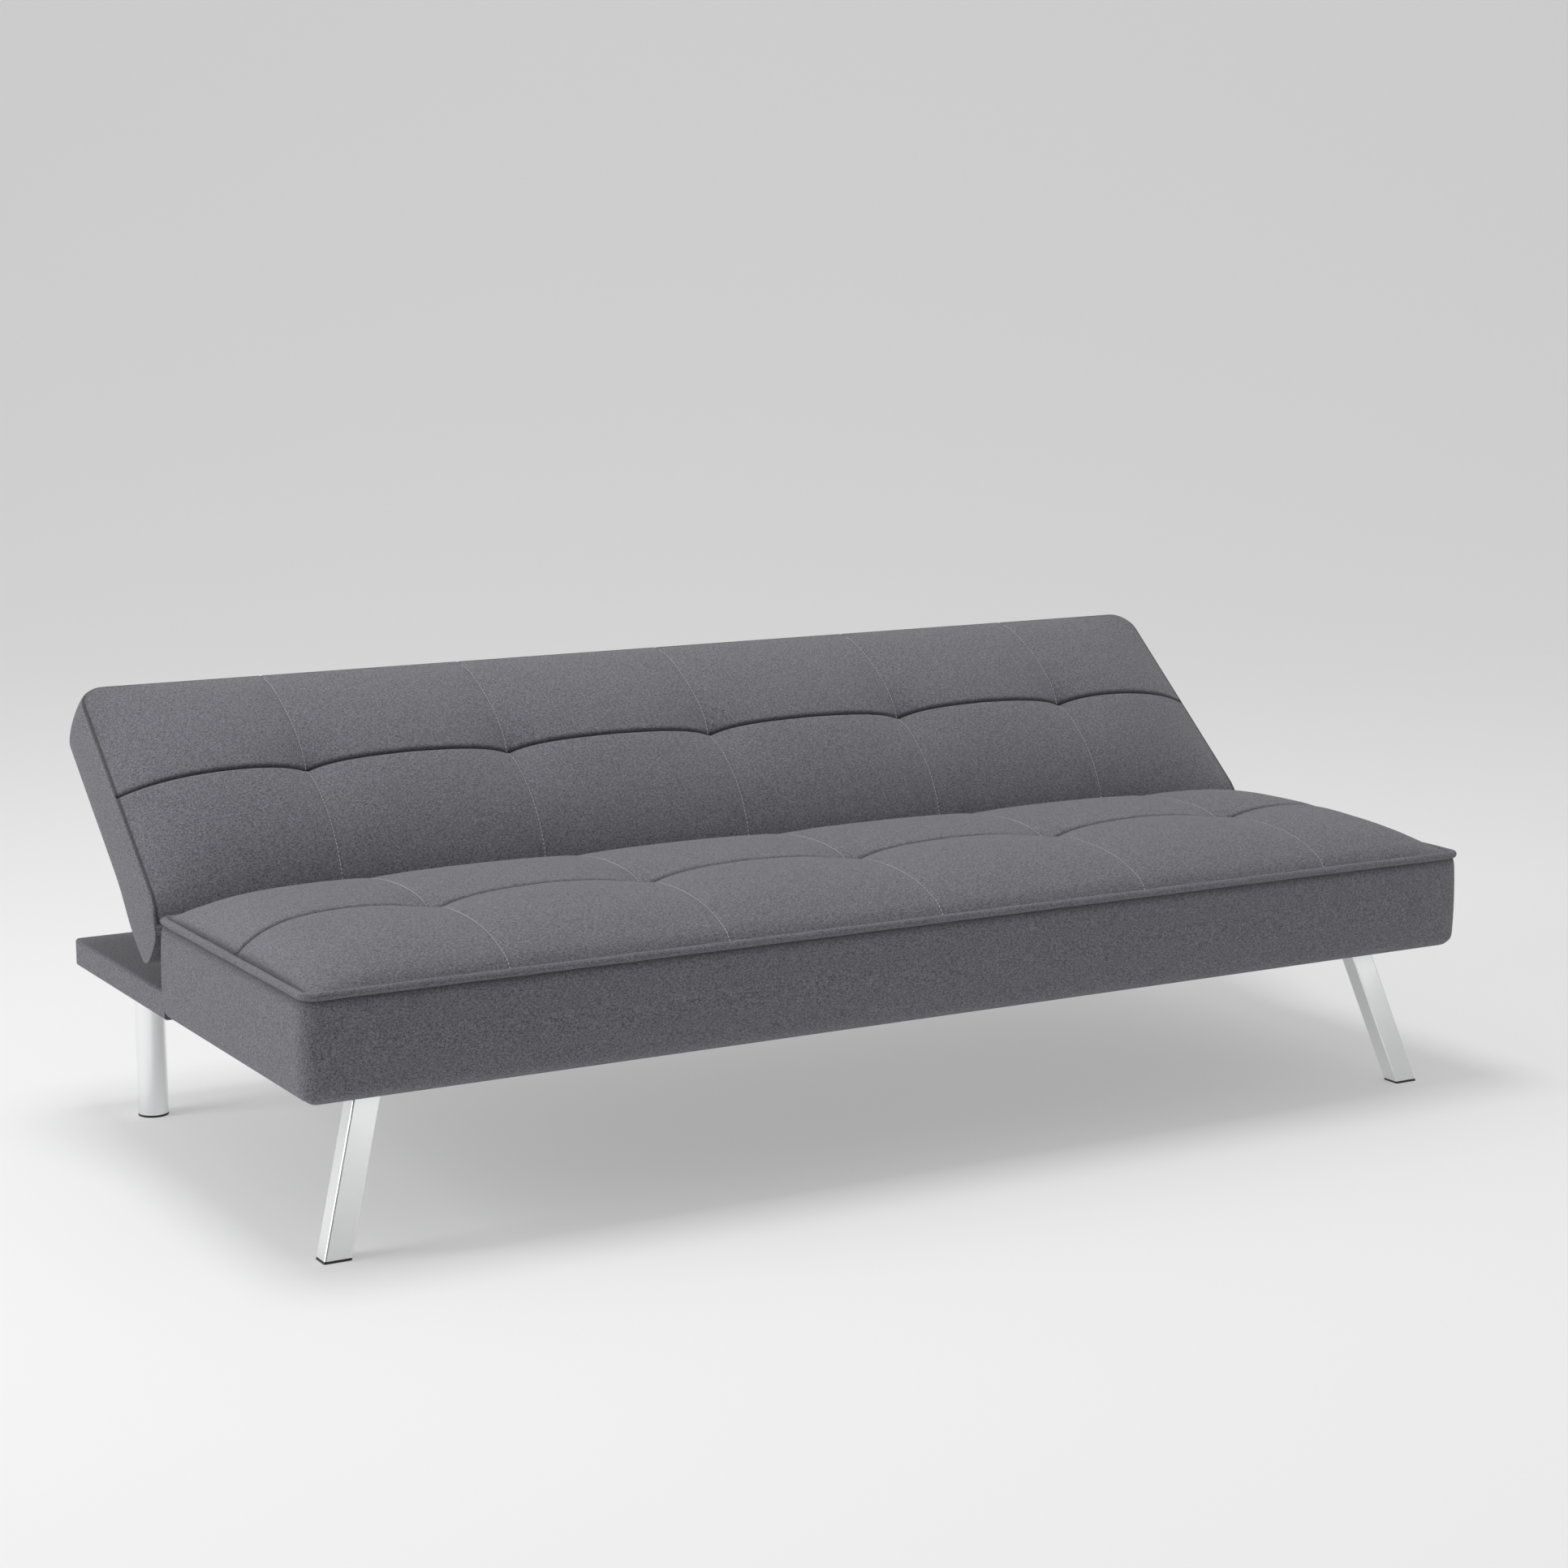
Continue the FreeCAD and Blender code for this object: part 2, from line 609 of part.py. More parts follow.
def hinge_base_arm(name, side):
    """The plate on the seat's brace: a bar, a boss for the pin and a toothed sector."""
    body = new_body(f"hinge_base_arm_{name}")
    shift = f"{side} * hinge_spread"
    bar = [(f"{PIN_Y} - base_arm_reach", f"{PIN_Z} - base_arm_drop"),
           (f"{PIN_Y} - base_arm_drop / 2", f"{PIN_Z} - base_arm_drop"),
           (f"{PIN_Y} - pin_behind_seat", f"{PIN_Z} - base_arm_neck_drop"),
           (PIN_Y, f"{PIN_Z} - boss_radius + boss_overlap"),
           (f"{PIN_Y} + boss_overlap - boss_radius", PIN_Z),
           (f"{PIN_Y} - base_arm_neck", f"{PIN_Z} + {ARM_TOP}"),
           (f"{PIN_Y} - base_arm_reach", f"{PIN_Z} + {ARM_TOP}")]
    pad(outline(new_sketch(body, shift=shift), *bar), "hinge_plate", centred=True)
    pad(circle(new_sketch(body, shift=shift), PIN_Y, PIN_Z, "boss_radius"), "hinge_plate", centred=True)
    teeth = [(PIN_Y, PIN_Z)]
    pitch = (RATCHET_TO - RATCHET_FROM) / RATCHET_TEETH
    for tooth in range(RATCHET_TEETH):
        angle = RATCHET_FROM + tooth * pitch
        root = angle + TOOTH_TOP * pitch
        for degrees, reach in ((angle, "ratchet_radius"), (root, "(ratchet_radius - tooth_depth)")):
            teeth.append((f"{PIN_Y} + {reach} * cos({degrees:.3f})",
                          f"{PIN_Z} + {reach} * sin({degrees:.3f})"))
    pad(outline(new_sketch(body, shift=shift), *teeth), "hinge_plate", centred=True)
    holes = new_sketch(body, shift=shift)
    circle(holes, PIN_Y, PIN_Z, "pin_radius")
    for place in BASE_BOLTS:
        circle(holes, place, f"{PIN_Z} + {BOLT_LINE}", "bolt_radius + bolt_hole_gap")
    pocket(holes, "3 * hinge_plate")


def hinge_back_arm(name, side):
    """The plate on the back's upright, with an ear that carries the pawl."""
    body = new_body(f"hinge_back_arm_{name}", True)
    shift = f"{side} * (hinge_spread + hinge_plate + plate_gap)"
    low, high = f"{BACK_BOLT_LINE} - back_arm_width / 2", f"{BACK_BOLT_LINE} + back_arm_width / 2"
    pad(outline(
        new_sketch(body, shift=shift),
        ("-0.7 * boss_radius", "-0.7 * boss_radius"), ("ear_start", low), ("back_arm_reach", low),
        ("back_arm_reach", high), ("back_frame_start - back_arm_gap", high), ("ear_along", "ear_across"),
        ("0.5 * boss_radius", "0.86 * boss_radius")), "hinge_plate", centred=True)
    pad(circle(new_sketch(body, shift=shift), "0", "0", "boss_radius"), "hinge_plate", centred=True)
    holes = new_sketch(body, shift=shift)
    circle(holes, "0", "0", "pin_radius + pin_clearance")
    circle(holes, "pawl_pivot_along", "pawl_pivot_across", "pawl_pin_radius")
    for place in BACK_BOLTS:
        circle(holes, place, BACK_BOLT_LINE, "bolt_radius + bolt_hole_gap")
    pocket(holes, "3 * hinge_plate")


def rod(body, role, x, y, radius, start, stop):
    """A round bar between two distances along the normal of an origin plane."""
    sketch = new_sketch(body, role, start)
    circle(sketch, x, y, radius)
    return pad(sketch, f"({stop}) - ({start})")


def along_x(side, near, far):
    """Start and end along X for a rod that runs outward from the middle."""
    return across(side, f"hinge_spread + {near}", f"hinge_spread + {far}")


def hinge_pin(name, side):
    """A headed rivet through both plates; it turns with the base arm."""
    body = new_body(f"hinge_pin_{name}")
    inner, outer = "(-hinge_plate / 2)", "(3 * hinge_plate / 2 + plate_gap)"
    rod(body, "YZ_Plane", PIN_Y, PIN_Z, "pin_radius", *along_x(side, inner, f"{outer} + plate_gap"))
    rod(body, "YZ_Plane", PIN_Y, PIN_Z, "pin_head_radius", *along_x(side, f"{inner} - pin_head", inner))
    rod(body, "YZ_Plane", PIN_Y, PIN_Z, "pin_head_radius",
        *along_x(side, f"{outer} + plate_gap", f"{outer} + plate_gap + pin_head"))


def hinge_bolts():
    """Coach bolts: those of the base arms grip the seat braces, the others the back uprights."""
    base = new_body("hinge_base_bolts")
    back = new_body("hinge_back_bolts", True)
    face = "(3 * hinge_plate / 2 + plate_gap)"
    for side in SIDES.values():
        for place in BASE_BOLTS:
            spot = (base, "YZ_Plane", place, f"{PIN_Z} + {BOLT_LINE}")
            rod(*spot, "bolt_radius", *along_x(side, "-bolt_grip", "hinge_plate / 2"))
            rod(*spot, "bolt_head_radius", *along_x(side, "hinge_plate / 2", "hinge_plate / 2 + bolt_head"))
        for place in BACK_BOLTS:
            spot = (back, "YZ_Plane", place, BACK_BOLT_LINE)
            rod(*spot, "bolt_radius", *along_x(side, f"{face} - hinge_plate", "bolt_grip"))
            rod(*spot, "bolt_head_radius",
                *along_x(side, f"{face} - hinge_plate - bolt_head", f"{face} - hinge_plate"))


def ratchet_pawl(name, side):
    """The catch that rides over the toothed sector; its pin is on the back arm."""
    body = new_body(f"ratchet_pawl_{name}", True)
    shift = f"{side} * hinge_spread"
    reach = "(ratchet_radius + pawl_tip_gap)"
    tip = (f"{reach} * cos(pawl_angle)", f"{reach} * sin(pawl_angle)")
    heel = (f"({reach} + pawl_tip_width) * cos(pawl_angle)", f"({reach} + pawl_tip_width) * sin(pawl_angle)")
    along, over = (f"{part} * pawl_boss" for part in PAWL_EDGE)
    pad(outline(
        new_sketch(body, shift=shift),
        heel, (f"pawl_pivot_along + {along}", f"pawl_pivot_across - {over}"),
        (f"pawl_pivot_along - {along}", f"pawl_pivot_across + {over}"), tip),
        "hinge_plate", centred=True)
    pivot = ("pawl_pivot_along", "pawl_pivot_across")
    pad(circle(new_sketch(body, shift=shift), *pivot, "pawl_boss"), "hinge_plate", centred=True)
    hole = circle(new_sketch(body, shift=shift), *pivot, "pawl_pin_radius + pin_clearance")
    pocket(hole, "3 * hinge_plate")


def pawl_hardware(name, side):
    """The pawl's pin and the torsion spring wound round it."""
    pin = new_body(f"pawl_pin_{name}", True)
    spot = (pin, "YZ_Plane", "pawl_pivot_along", "pawl_pivot_across")
    free_end = f"(-hinge_plate / 2 - 2 * plate_gap - spring_wire * {SPRING_PITCH * SPRING_TURNS + 0.2})"
    rod(*spot, "pawl_pin_radius", *along_x(side, free_end, "3 * hinge_plate / 2 + plate_gap"))
    rod(*spot, "pawl_boss", *along_x(side, f"{free_end} - pin_head / 2", free_end))
    spring = new_body(f"pawl_spring_{name}", True)
    coil = "(pawl_pin_radius + 2 * spring_wire)"
    for turn in range(SPRING_TURNS):
        ring = spring.newObject("PartDesign::AdditiveTorus", spring.Name + "_turn")
        ring.Placement = FreeCAD.Placement(FreeCAD.Vector(), FreeCAD.Rotation(FreeCAD.Vector(0, 1, 0), 90))
        wound = f"spring_wire * (1 + {SPRING_PITCH * turn})"
        place = f"{side} * (hinge_spread - hinge_plate / 2 - plate_gap - {wound})"
        bind(ring, Radius1=coil, Radius2="spring_wire", Placement__Base__x=place,
             Placement__Base__y="pawl_pivot_along", Placement__Base__z="pawl_pivot_across")
    rod(spring, "XY_Plane", place, f"pawl_pivot_along + {coil}", "spring_wire",
        "pawl_pivot_across - spring_leg", "pawl_pivot_across")


# ---------------------------------------------------------------- legs

def leaning(label, side, inset, start, stop, hollow=False):
    """A length of the front leg's leaning section between two heights."""
    outer = f"(overall_width / 2 - front_foot_inset - leg_lean_in * {start} - {inset})"
    inner = f"({outer} - front_leg_width + 2 * {inset})"
    front = f"(front_foot_setback - overall_depth / 2 + leg_lean_back * {start} + {inset})"
    rear = f"({front} + front_leg_depth - 2 * {inset})"
    section = doc.addObject("Sketcher::SketchObject", label + "_section")
    bind(section, Placement__Base__z=start)
    rounded_rectangle(section, across(side, inner, outer), (front, rear),
                      f"(front_leg_corner - {inset} / 2)")
    if hollow:
        wall = "tube_wall"
        rounded_rectangle(section, across(side, f"{inner} + {wall}", f"{outer} - {wall}"),
                          (f"{front} + {wall}", f"{rear} - {wall}"), "(front_leg_corner - tube_wall / 2)")
    run = doc.addObject("Part::Extrusion", label + "_run")
    run.Base = section
    run.DirMode = "Custom"
    run.Solid = True
    height = f"({stop} - {start})"
    bind(run, Dir__x=f"{-side} * leg_lean_in * {height}", Dir__y=f"leg_lean_back * {height}", Dir__z=height)
    return run


def leg_centre(side):
    """Where the middle of a front leg meets its plate."""
    x = f"(overall_width / 2 - front_foot_inset - leg_lean_in * {LEG_TOP} - front_leg_width / 2)"
    y = f"(front_foot_setback - overall_depth / 2 + leg_lean_back * {LEG_TOP} + front_leg_depth / 2)"
    return (x if side > 0 else f"(-{x})"), y


def front_leg(name, side):
    """A leaning rectangular tube, the plate it is welded to and its foot cap."""
    node(leaning(f"front_leg_{name}_tube", side, "0", "foot_cap", LEG_TOP, hollow=True), f"front_leg_{name}")
    sole = leaning(f"front_leg_{name}_sole", side, "0", "0", "foot_cap")
    plug = leaning(f"front_leg_{name}_plug", side, "(tube_wall + pin_clearance)",
                   "foot_cap", "(foot_cap + cap_plug)")
    cap = doc.addObject("Part::Fuse", f"front_cap_{name}")
    cap.Base, cap.Tool = sole, plug
    node(cap, f"front_leg_cap_{name}")
    x, y = leg_centre(side)
    mount = new_body(f"front_leg_plate_{name}")
    face = new_sketch(mount, "XY_Plane", LEG_TOP)
    rounded_rectangle(face, (f"{x} - leg_plate_width / 2", f"{x} + leg_plate_width / 2"),
                      (f"{y} - leg_plate_depth / 2", f"{y} + leg_plate_depth / 2"), "screw_head_radius")
    for spot in front_screw_places(side):
        circle(face, *spot, "screw_radius + bolt_hole_gap")
    pad(face, "leg_plate")


def front_screw_places(side):
    x, y = leg_centre(side)
    reach_x = "(leg_plate_width / 2 - plate_screw_edge_x)"
    reach_y = "(leg_plate_depth / 2 - plate_screw_edge_y)"
    return [(f"{x} + {a} * {reach_x}", f"{y} + {b} * {reach_y}") for a in (-1, 1) for b in (-1, 1)]


def rear_centre(side):
    return f"({side} * (overall_width / 2 - rear_leg_inset))", f"({REAR} - rear_leg_setback)"


def rear_screw_places(side):
    x, y = rear_centre(side)
    reach = "(flange_radius - flange_screw_edge)"
    return [(f"{x} + {reach} * cos({angle})", f"{y} + {reach} * sin({angle})") for angle in (90, 210, 330)]


def rear_leg(name, side):
    """A round tube with a flange above and a foot cap below."""
    x, y = rear_centre(side)
    tube = new_body(f"rear_leg_{name}")
    ring = new_sketch(tube, "XY_Plane", "foot_cap")
    circle(ring, x, y, "rear_leg_radius")
    circle(ring, x, y, "rear_leg_radius - tube_wall")
    pad(ring, f"{LEG_TOP} - foot_cap")
    cap = new_body(f"rear_leg_cap_{name}")
    rod(cap, "XY_Plane", x, y, "rear_leg_radius", "0", "foot_cap")
    rod(cap, "XY_Plane", x, y, "rear_leg_radius - tube_wall - pin_clearance",
        "foot_cap", "foot_cap + cap_plug")
    flange = new_body(f"rear_leg_flange_{name}")
    face = new_sketch(flange, "XY_Plane", LEG_TOP)
    circle(face, x, y, "flange_radius")
    for spot in rear_screw_places(side):
        circle(face, *spot, "screw_radius + bolt_hole_gap")
    pad(face, "leg_plate")


def leg_screws(label, places):
    """Wood screws driven up through the plates into the side planks."""
    body = new_body(label)
    for side in SIDES.values():
        for x, y in places(side):
            rod(body, "XY_Plane", x, y, "screw_radius", LEG_TOP, f"{BASE_BOTTOM} + screw_grip")
            rod(body, "XY_Plane", x, y, "screw_head_radius", f"{LEG_TOP} - screw_head", LEG_TOP)


# ---------------------------------------------------------------- the sofa

base_frame()
platform_cover()
seat_frame()
seat_soft_parts()
seat_piping()
back_frame()
back_soft_parts()
for word, hand in SIDES.items():
    hinge_base_arm(word, hand)
    hinge_back_arm(word, hand)
    hinge_pin(word, hand)
    ratchet_pawl(word, hand)
    pawl_hardware(word, hand)
    front_leg(word, hand)
    rear_leg(word, hand)
hinge_bolts()
leg_screws("front_leg_screws", front_screw_places)
leg_screws("rear_leg_screws", rear_screw_places)

doc.recompute()
faults = [item.Label for item in doc.Objects if {"Invalid", "Error"} & set(item.State)]
faults += [item.Label for item in NODES if item.Shape.isNull() or not item.Shape.isValid()]
if faults:
    raise SystemExit("not built: " + ", ".join(faults))
os.makedirs("parts", exist_ok=True)
for item in NODES:
    item.Shape.exportStep(f"parts/{item.Label}.step")
print(len(NODES), "sub-parts written")
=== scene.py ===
import json
import math

import bpy
import numpy as np
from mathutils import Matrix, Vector


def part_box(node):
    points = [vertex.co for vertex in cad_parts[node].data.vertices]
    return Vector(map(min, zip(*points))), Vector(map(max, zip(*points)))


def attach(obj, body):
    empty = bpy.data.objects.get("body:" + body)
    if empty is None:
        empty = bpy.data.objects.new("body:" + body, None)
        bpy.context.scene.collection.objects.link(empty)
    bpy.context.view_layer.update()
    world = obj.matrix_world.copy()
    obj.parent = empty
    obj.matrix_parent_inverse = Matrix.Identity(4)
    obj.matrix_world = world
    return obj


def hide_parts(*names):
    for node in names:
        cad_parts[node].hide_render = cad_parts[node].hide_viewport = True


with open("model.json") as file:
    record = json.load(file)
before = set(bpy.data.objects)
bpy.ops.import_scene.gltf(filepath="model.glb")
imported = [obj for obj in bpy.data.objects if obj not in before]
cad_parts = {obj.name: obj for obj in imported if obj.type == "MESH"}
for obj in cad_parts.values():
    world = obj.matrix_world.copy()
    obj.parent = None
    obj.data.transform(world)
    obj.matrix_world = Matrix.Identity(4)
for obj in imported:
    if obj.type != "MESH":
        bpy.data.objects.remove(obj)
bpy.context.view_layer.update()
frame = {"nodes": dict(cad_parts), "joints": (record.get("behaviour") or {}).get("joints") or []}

# Sofa bed with a back that folds flat.  Metres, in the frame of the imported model: X runs along
# the sofa, the front faces -Y, +Z is up.  All pieces are made at rest, with the back leaning.

MM = 0.001
SEAT_LOW, SEAT_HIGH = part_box("seat_cover")
WRAP_LOW, WRAP_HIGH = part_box("platform_cover")
CORD_LOW, CORD_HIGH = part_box("seat_piping")
SHEET_LOW, SHEET_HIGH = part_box("seat_dust_cover")
HALF = SEAT_HIGH.x
FOLD = next(joint for joint in frame["joints"] if joint["name"] == "back_fold")
PIN = Vector(FOLD["pos_m"])
LEAN = math.radians(-FOLD["range_deg"][0])

CORD_RADIUS = 5 * MM
EDGE = CORD_HIGH.z - 4 * MM          # where the seat's top panel is sewn to its sides


# ---------------------------------------------------------------- materials

def shader(name, colour, roughness, metallic=0.0, **fixed):
    """A material and its principled shader; fixed names more of the shader's inputs."""
    made = bpy.data.materials.new(name)
    made.use_nodes = True
    surface = made.node_tree.nodes["Principled BSDF"]
    surface.inputs["Base Color"].default_value = (*colour, 1)
    surface.inputs["Roughness"].default_value = roughness
    surface.inputs["Metallic"].default_value = metallic
    for socket, value in fixed.items():
        surface.inputs[socket.replace("_", " ")].default_value = value
    return made, surface


def add(made, kind, **settings):
    node = made.node_tree.nodes.new(kind)
    for name, value in settings.items():
        setattr(node, name, value)
    return node


def link(made, source, target):
    made.node_tree.links.new(source, target)


def place(made, stretch=(1, 1, 1)):
    """The object's own coordinates, in metres, stretched."""
    source = add(made, "ShaderNodeTexCoord")
    mapping = add(made, "ShaderNodeMapping")
    mapping.inputs["Scale"].default_value = stretch
    link(made, source.outputs["Object"], mapping.inputs["Vector"])
    return mapping.outputs["Vector"]


def noise(made, scale, stretch=(1, 1, 1), detail=2.0, rough=0.5):
    node = add(made, "ShaderNodeTexNoise")
    node.inputs["Scale"].default_value = scale
    node.inputs["Detail"].default_value = detail
    node.inputs["Roughness"].default_value = rough
    link(made, place(made, stretch), node.inputs["Vector"])
    return node.outputs["Fac"]


def bands(made, scale, direction, distortion=0.0):
    node = add(made, "ShaderNodeTexWave", bands_direction=direction)
    node.inputs["Scale"].default_value = scale
    node.inputs["Distortion"].default_value = distortion
    node.inputs["Detail Scale"].default_value = 1.5
    link(made, place(made), node.inputs["Vector"])
    return node.outputs["Fac"]


def math_node(made, operation, first, second):
    node = add(made, "ShaderNodeMath", operation=operation)
    for socket, value in zip(node.inputs, (first, second)):
        if isinstance(value, (int, float)):
            socket.default_value = value
        else:
            link(made, value, socket)
    return node.outputs[0]


def ramp(made, factor, *stops):
    """Colours along a factor; each stop is (position, colour)."""
    node = add(made, "ShaderNodeValToRGB")
    while len(node.color_ramp.elements) < len(stops):
        node.color_ramp.elements.new(0.5)
    for element, (position, colour) in zip(node.color_ramp.elements, stops):
        element.position = position
        element.color = (*colour, 1)
    link(made, factor, node.inputs["Fac"])
    return node.outputs["Color"]


def span(made, factor, low, high):
    node = add(made, "ShaderNodeMapRange")
    node.inputs["To Min"].default_value = low
    node.inputs["To Max"].default_value = high
    link(made, factor, node.inputs["Value"])
    return node.outputs["Result"]


def mix(made, factor, first, second):
    node = add(made, "ShaderNodeMix", data_type="RGBA")
    factor_socket, a_socket, b_socket = node.inputs[0], node.inputs[6], node.inputs[7]
    for socket, value in ((factor_socket, factor), (a_socket, first), (b_socket, second)):
        if isinstance(value, (int, float)):
            socket.default_value = value
        elif isinstance(value, tuple):
            socket.default_value = (*value, 1)
        else:
            link(made, value, socket)
    return node.outputs[2]


def weighted(made, first, second, share):
    """The sum of two factors, the first with this share of the weight."""
    return math_node(made, "ADD", math_node(made, "MULTIPLY", first, share),
                     math_node(made, "MULTIPLY", second, round(1 - share, 6)))


def paint(made, surface, factor, *stops):
    """Colours the surface along a factor; each stop is (position, colour)."""
    link(made, ramp(made, factor, *stops), surface.inputs["Base Color"])


def bump(made, surface, height, distance, strength=1.0):
    node = add(made, "ShaderNodeBump")
    node.inputs["Distance"].default_value = distance
    node.inputs["Strength"].default_value = strength
    link(made, height, node.inputs["Height"])
    link(made, node.outputs["Normal"], surface.inputs["Normal"])


def woven(name, dark, light, pitch=1.1 * MM, fold=0.12):
    """Plain-woven melange: pale and dark yarns both ways, soft fading, and painted shade, darker
    in the folds and along the sewn edges that a mesh attribute marks."""
    made, surface = shader(name, light, 0.92, Sheen_Weight=0.22, Sheen_Roughness=0.5,
                           Specular_IOR_Level=0.25)
    warp = noise(made, 0.8 / pitch, (1, 0.4, 0.8), 4.0, 0.7)
    weft = noise(made, 0.8 / pitch, (0.4, 1, 0.8), 4.0, 0.7)
    flecks = weighted(made, warp, weft, 0.5)
    colour = ramp(made, flecks, (0.415, dark), (0.585, light))
    cloud = noise(made, 60, detail=3.0)
    fading = math_node(made, "MULTIPLY", cloud, 0.12)
    colour = mix(made, fading, colour, tuple(0.5 * value for value in dark))
    # Painted shade: mixed towards fold times the light yarn where the mesh marks folds and edges.
    painted_shade = add(made, "ShaderNodeAttribute", attribute_name="painted_shade")
    colour = mix(made, painted_shade.outputs["Fac"], colour, tuple(fold * value for value in light))
    link(made, colour, surface.inputs["Base Color"])
    link(made, span(made, flecks, 0.86, 0.98), surface.inputs["Roughness"])
    over = bands(made, 1 / pitch, "X", 0.6)
    under = bands(made, 1 / pitch, "Y", 0.6)
    level = math_node(made, "MULTIPLY", math_node(made, "ADD", over, under), 0.5)
    level = math_node(made, "ADD", level, flecks)
    bump(made, surface, level, 0.35 * MM, 0.8)
    return made


def thread(name):
    made, surface = shader(name, (0.44, 0.44, 0.46), 0.6, Sheen_Weight=0.2)
    twist = bands(made, 900, "DIAGONAL")
    paint(made, surface, twist, (0.2, (0.36, 0.36, 0.38)), (0.8, (0.54, 0.54, 0.56)))
    bump(made, surface, twist, 0.1 * MM)
    return made


def open_foam(name):
    made, surface = shader(name, (0.78, 0.74, 0.62), 0.95, Subsurface_Weight=0.1)
    cells = add(made, "ShaderNodeTexVoronoi")
    cells.inputs["Scale"].default_value = 700
    link(made, place(made), cells.inputs["Vector"])
    pores = cells.outputs["Distance"]
    paint(made, surface, pores, (0.05, (0.86, 0.81, 0.66)), (0.8, (0.62, 0.56, 0.42)))
    bump(made, surface, pores, 0.6 * MM)
    return made


def felted(name):
    """Thin non-woven cloth with pressed dots."""
    made, surface = shader(name, (0.02, 0.02, 0.02), 0.9, Sheen_Weight=0.1)
    fibres = noise(made, 450, (1, 0.3, 1), 4.0, 0.7)
    dots = add(made, "ShaderNodeTexVoronoi")
    dots.inputs["Scale"].default_value = 260
    link(made, place(made), dots.inputs["Vector"])
    paint(made, surface, fibres, (0.3, (0.010, 0.010, 0.011)), (0.7, (0.040, 0.040, 0.042)))
    link(made, span(made, fibres, 0.75, 0.95), surface.inputs["Roughness"])
    bump(made, surface, math_node(made, "ADD", dots.outputs["Distance"], fibres), 0.3 * MM)
    return made


def timber(name):
    made, surface = shader(name, (0.55, 0.40, 0.24), 0.6)
    grain = add(made, "ShaderNodeTexWave", wave_type="RINGS", rings_direction="X")
    grain.inputs["Scale"].default_value = 28
    grain.inputs["Distortion"].default_value = 7
    grain.inputs["Detail"].default_value = 3
    link(made, place(made, (0.15, 1, 1)), grain.inputs["Vector"])
    fibre = noise(made, 260, (0.06, 1, 1), 3.0)
    figure = weighted(made, grain.outputs["Fac"], fibre, 0.6)
    paint(made, surface, figure, (0.2, (0.62, 0.46, 0.28)), (0.8, (0.40, 0.26, 0.13)))
    link(made, span(made, fibre, 0.5, 0.75), surface.inputs["Roughness"])
    bump(made, surface, figure, 0.2 * MM)
    return made


def pressed_board(name):
    made, surface = shader(name, (0.22, 0.12, 0.06), 0.55)
    fibre = noise(made, 320, detail=5.0, rough=0.7)
    paint(made, surface, fibre, (0.3, (0.14, 0.075, 0.035)), (0.7, (0.30, 0.18, 0.09)))
    link(made, span(made, fibre, 0.45, 0.7), surface.inputs["Roughness"])
    bump(made, surface, fibre, 0.12 * MM)
    return made


def metal(name, dark, light, low, high, brushed=(1, 1, 0.02), scale=500, **fixed):
    """Satin metal, brushed along the direction in which its noise is stretched."""
    made, surface = shader(name, light, low, 1.0, **fixed)
    scratches = noise(made, scale, brushed, 4.0, 0.65)
    haze = noise(made, 14, detail=3.0)
    paint(made, surface, scratches, (0.3, dark), (0.7, light))
    wear = weighted(made, scratches, haze, 0.6)
    link(made, span(made, wear, low, high), surface.inputs["Roughness"])
    bump(made, surface, scratches, 0.004 * MM)
    return made


def moulded(name):
    made, surface = shader(name, (0.018, 0.018, 0.019), 0.5, Specular_IOR_Level=0.4)
    grain = noise(made, 900, detail=3.0)
    paint(made, surface, grain, (0.3, (0.012, 0.012, 0.013)), (0.7, (0.028, 0.028, 0.03)))
    link(made, span(made, grain, 0.38, 0.62), surface.inputs["Roughness"])
    bump(made, surface, grain, 0.08 * MM)
    return made


def plain_matte(name, colour):
    made, surface = shader(name, colour, 0.9, Specular_IOR_Level=0.1)
    spots = span(made, noise(made, 3, detail=3.0), 0.0, 0.04)
    link(made, mix(made, spots, colour, (0.6, 0.6, 0.6)), surface.inputs["Base Color"])
    return made


CLOTH_DARK, CLOTH_LIGHT = (0.074, 0.073, 0.083), (0.262, 0.258, 0.289)
FINISHES = {
    "grey_fabric": woven("grey_fabric_finish", CLOTH_DARK, CLOTH_LIGHT),
    "piping_fabric": woven("piping_fabric_finish", CLOTH_DARK, CLOTH_LIGHT, 0.9 * MM),
    "foam": open_foam("foam_finish"),
    "dust_sheet": felted("dust_sheet_finish"),
    "timber": timber("timber_finish"),
    "hardboard": pressed_board("hardboard_finish"),
    "satin_steel": metal("satin_steel_finish", (0.88, 0.885, 0.89), (0.92, 0.925, 0.93),
                         0.22, 0.30, (1, 1, 0.01), 900, Anisotropic=0.35),
    "plate_steel": metal("plate_steel_finish", (0.40, 0.41, 0.42), (0.55, 0.56, 0.57),
                         0.35, 0.5, (1, 1, 1), 120),
    "hinge_steel": metal("hinge_steel_finish", (0.16, 0.16, 0.17), (0.28, 0.28, 0.29),
                         0.35, 0.55, (1, 1, 1), 90),
    "zinc_fasteners": metal("zinc_finish", (0.50, 0.50, 0.46), (0.66, 0.66, 0.62),
                            0.25, 0.45, (1, 1, 1), 200),
    "black_plastic": moulded("black_plastic_finish"),
}
THREAD = thread("thread_finish")

for cad_node in frame["nodes"].values():
    for material_slot in cad_node.material_slots:
        material_slot.material = FINISHES[material_slot.material.name.split(".")[0]]


# ---------------------------------------------------------------- mesh helpers

def make_mesh(name, points, quads, finish):
    mesh = bpy.data.meshes.new(name)
    mesh.from_pydata([tuple(point) for point in points], [], quads)
    mesh.materials.append(finish)
    mesh.polygons.foreach_set("use_smooth", [True] * len(mesh.polygons))
    made = bpy.data.objects.new(name, mesh)
    bpy.context.scene.collection.objects.link(made)
    return made


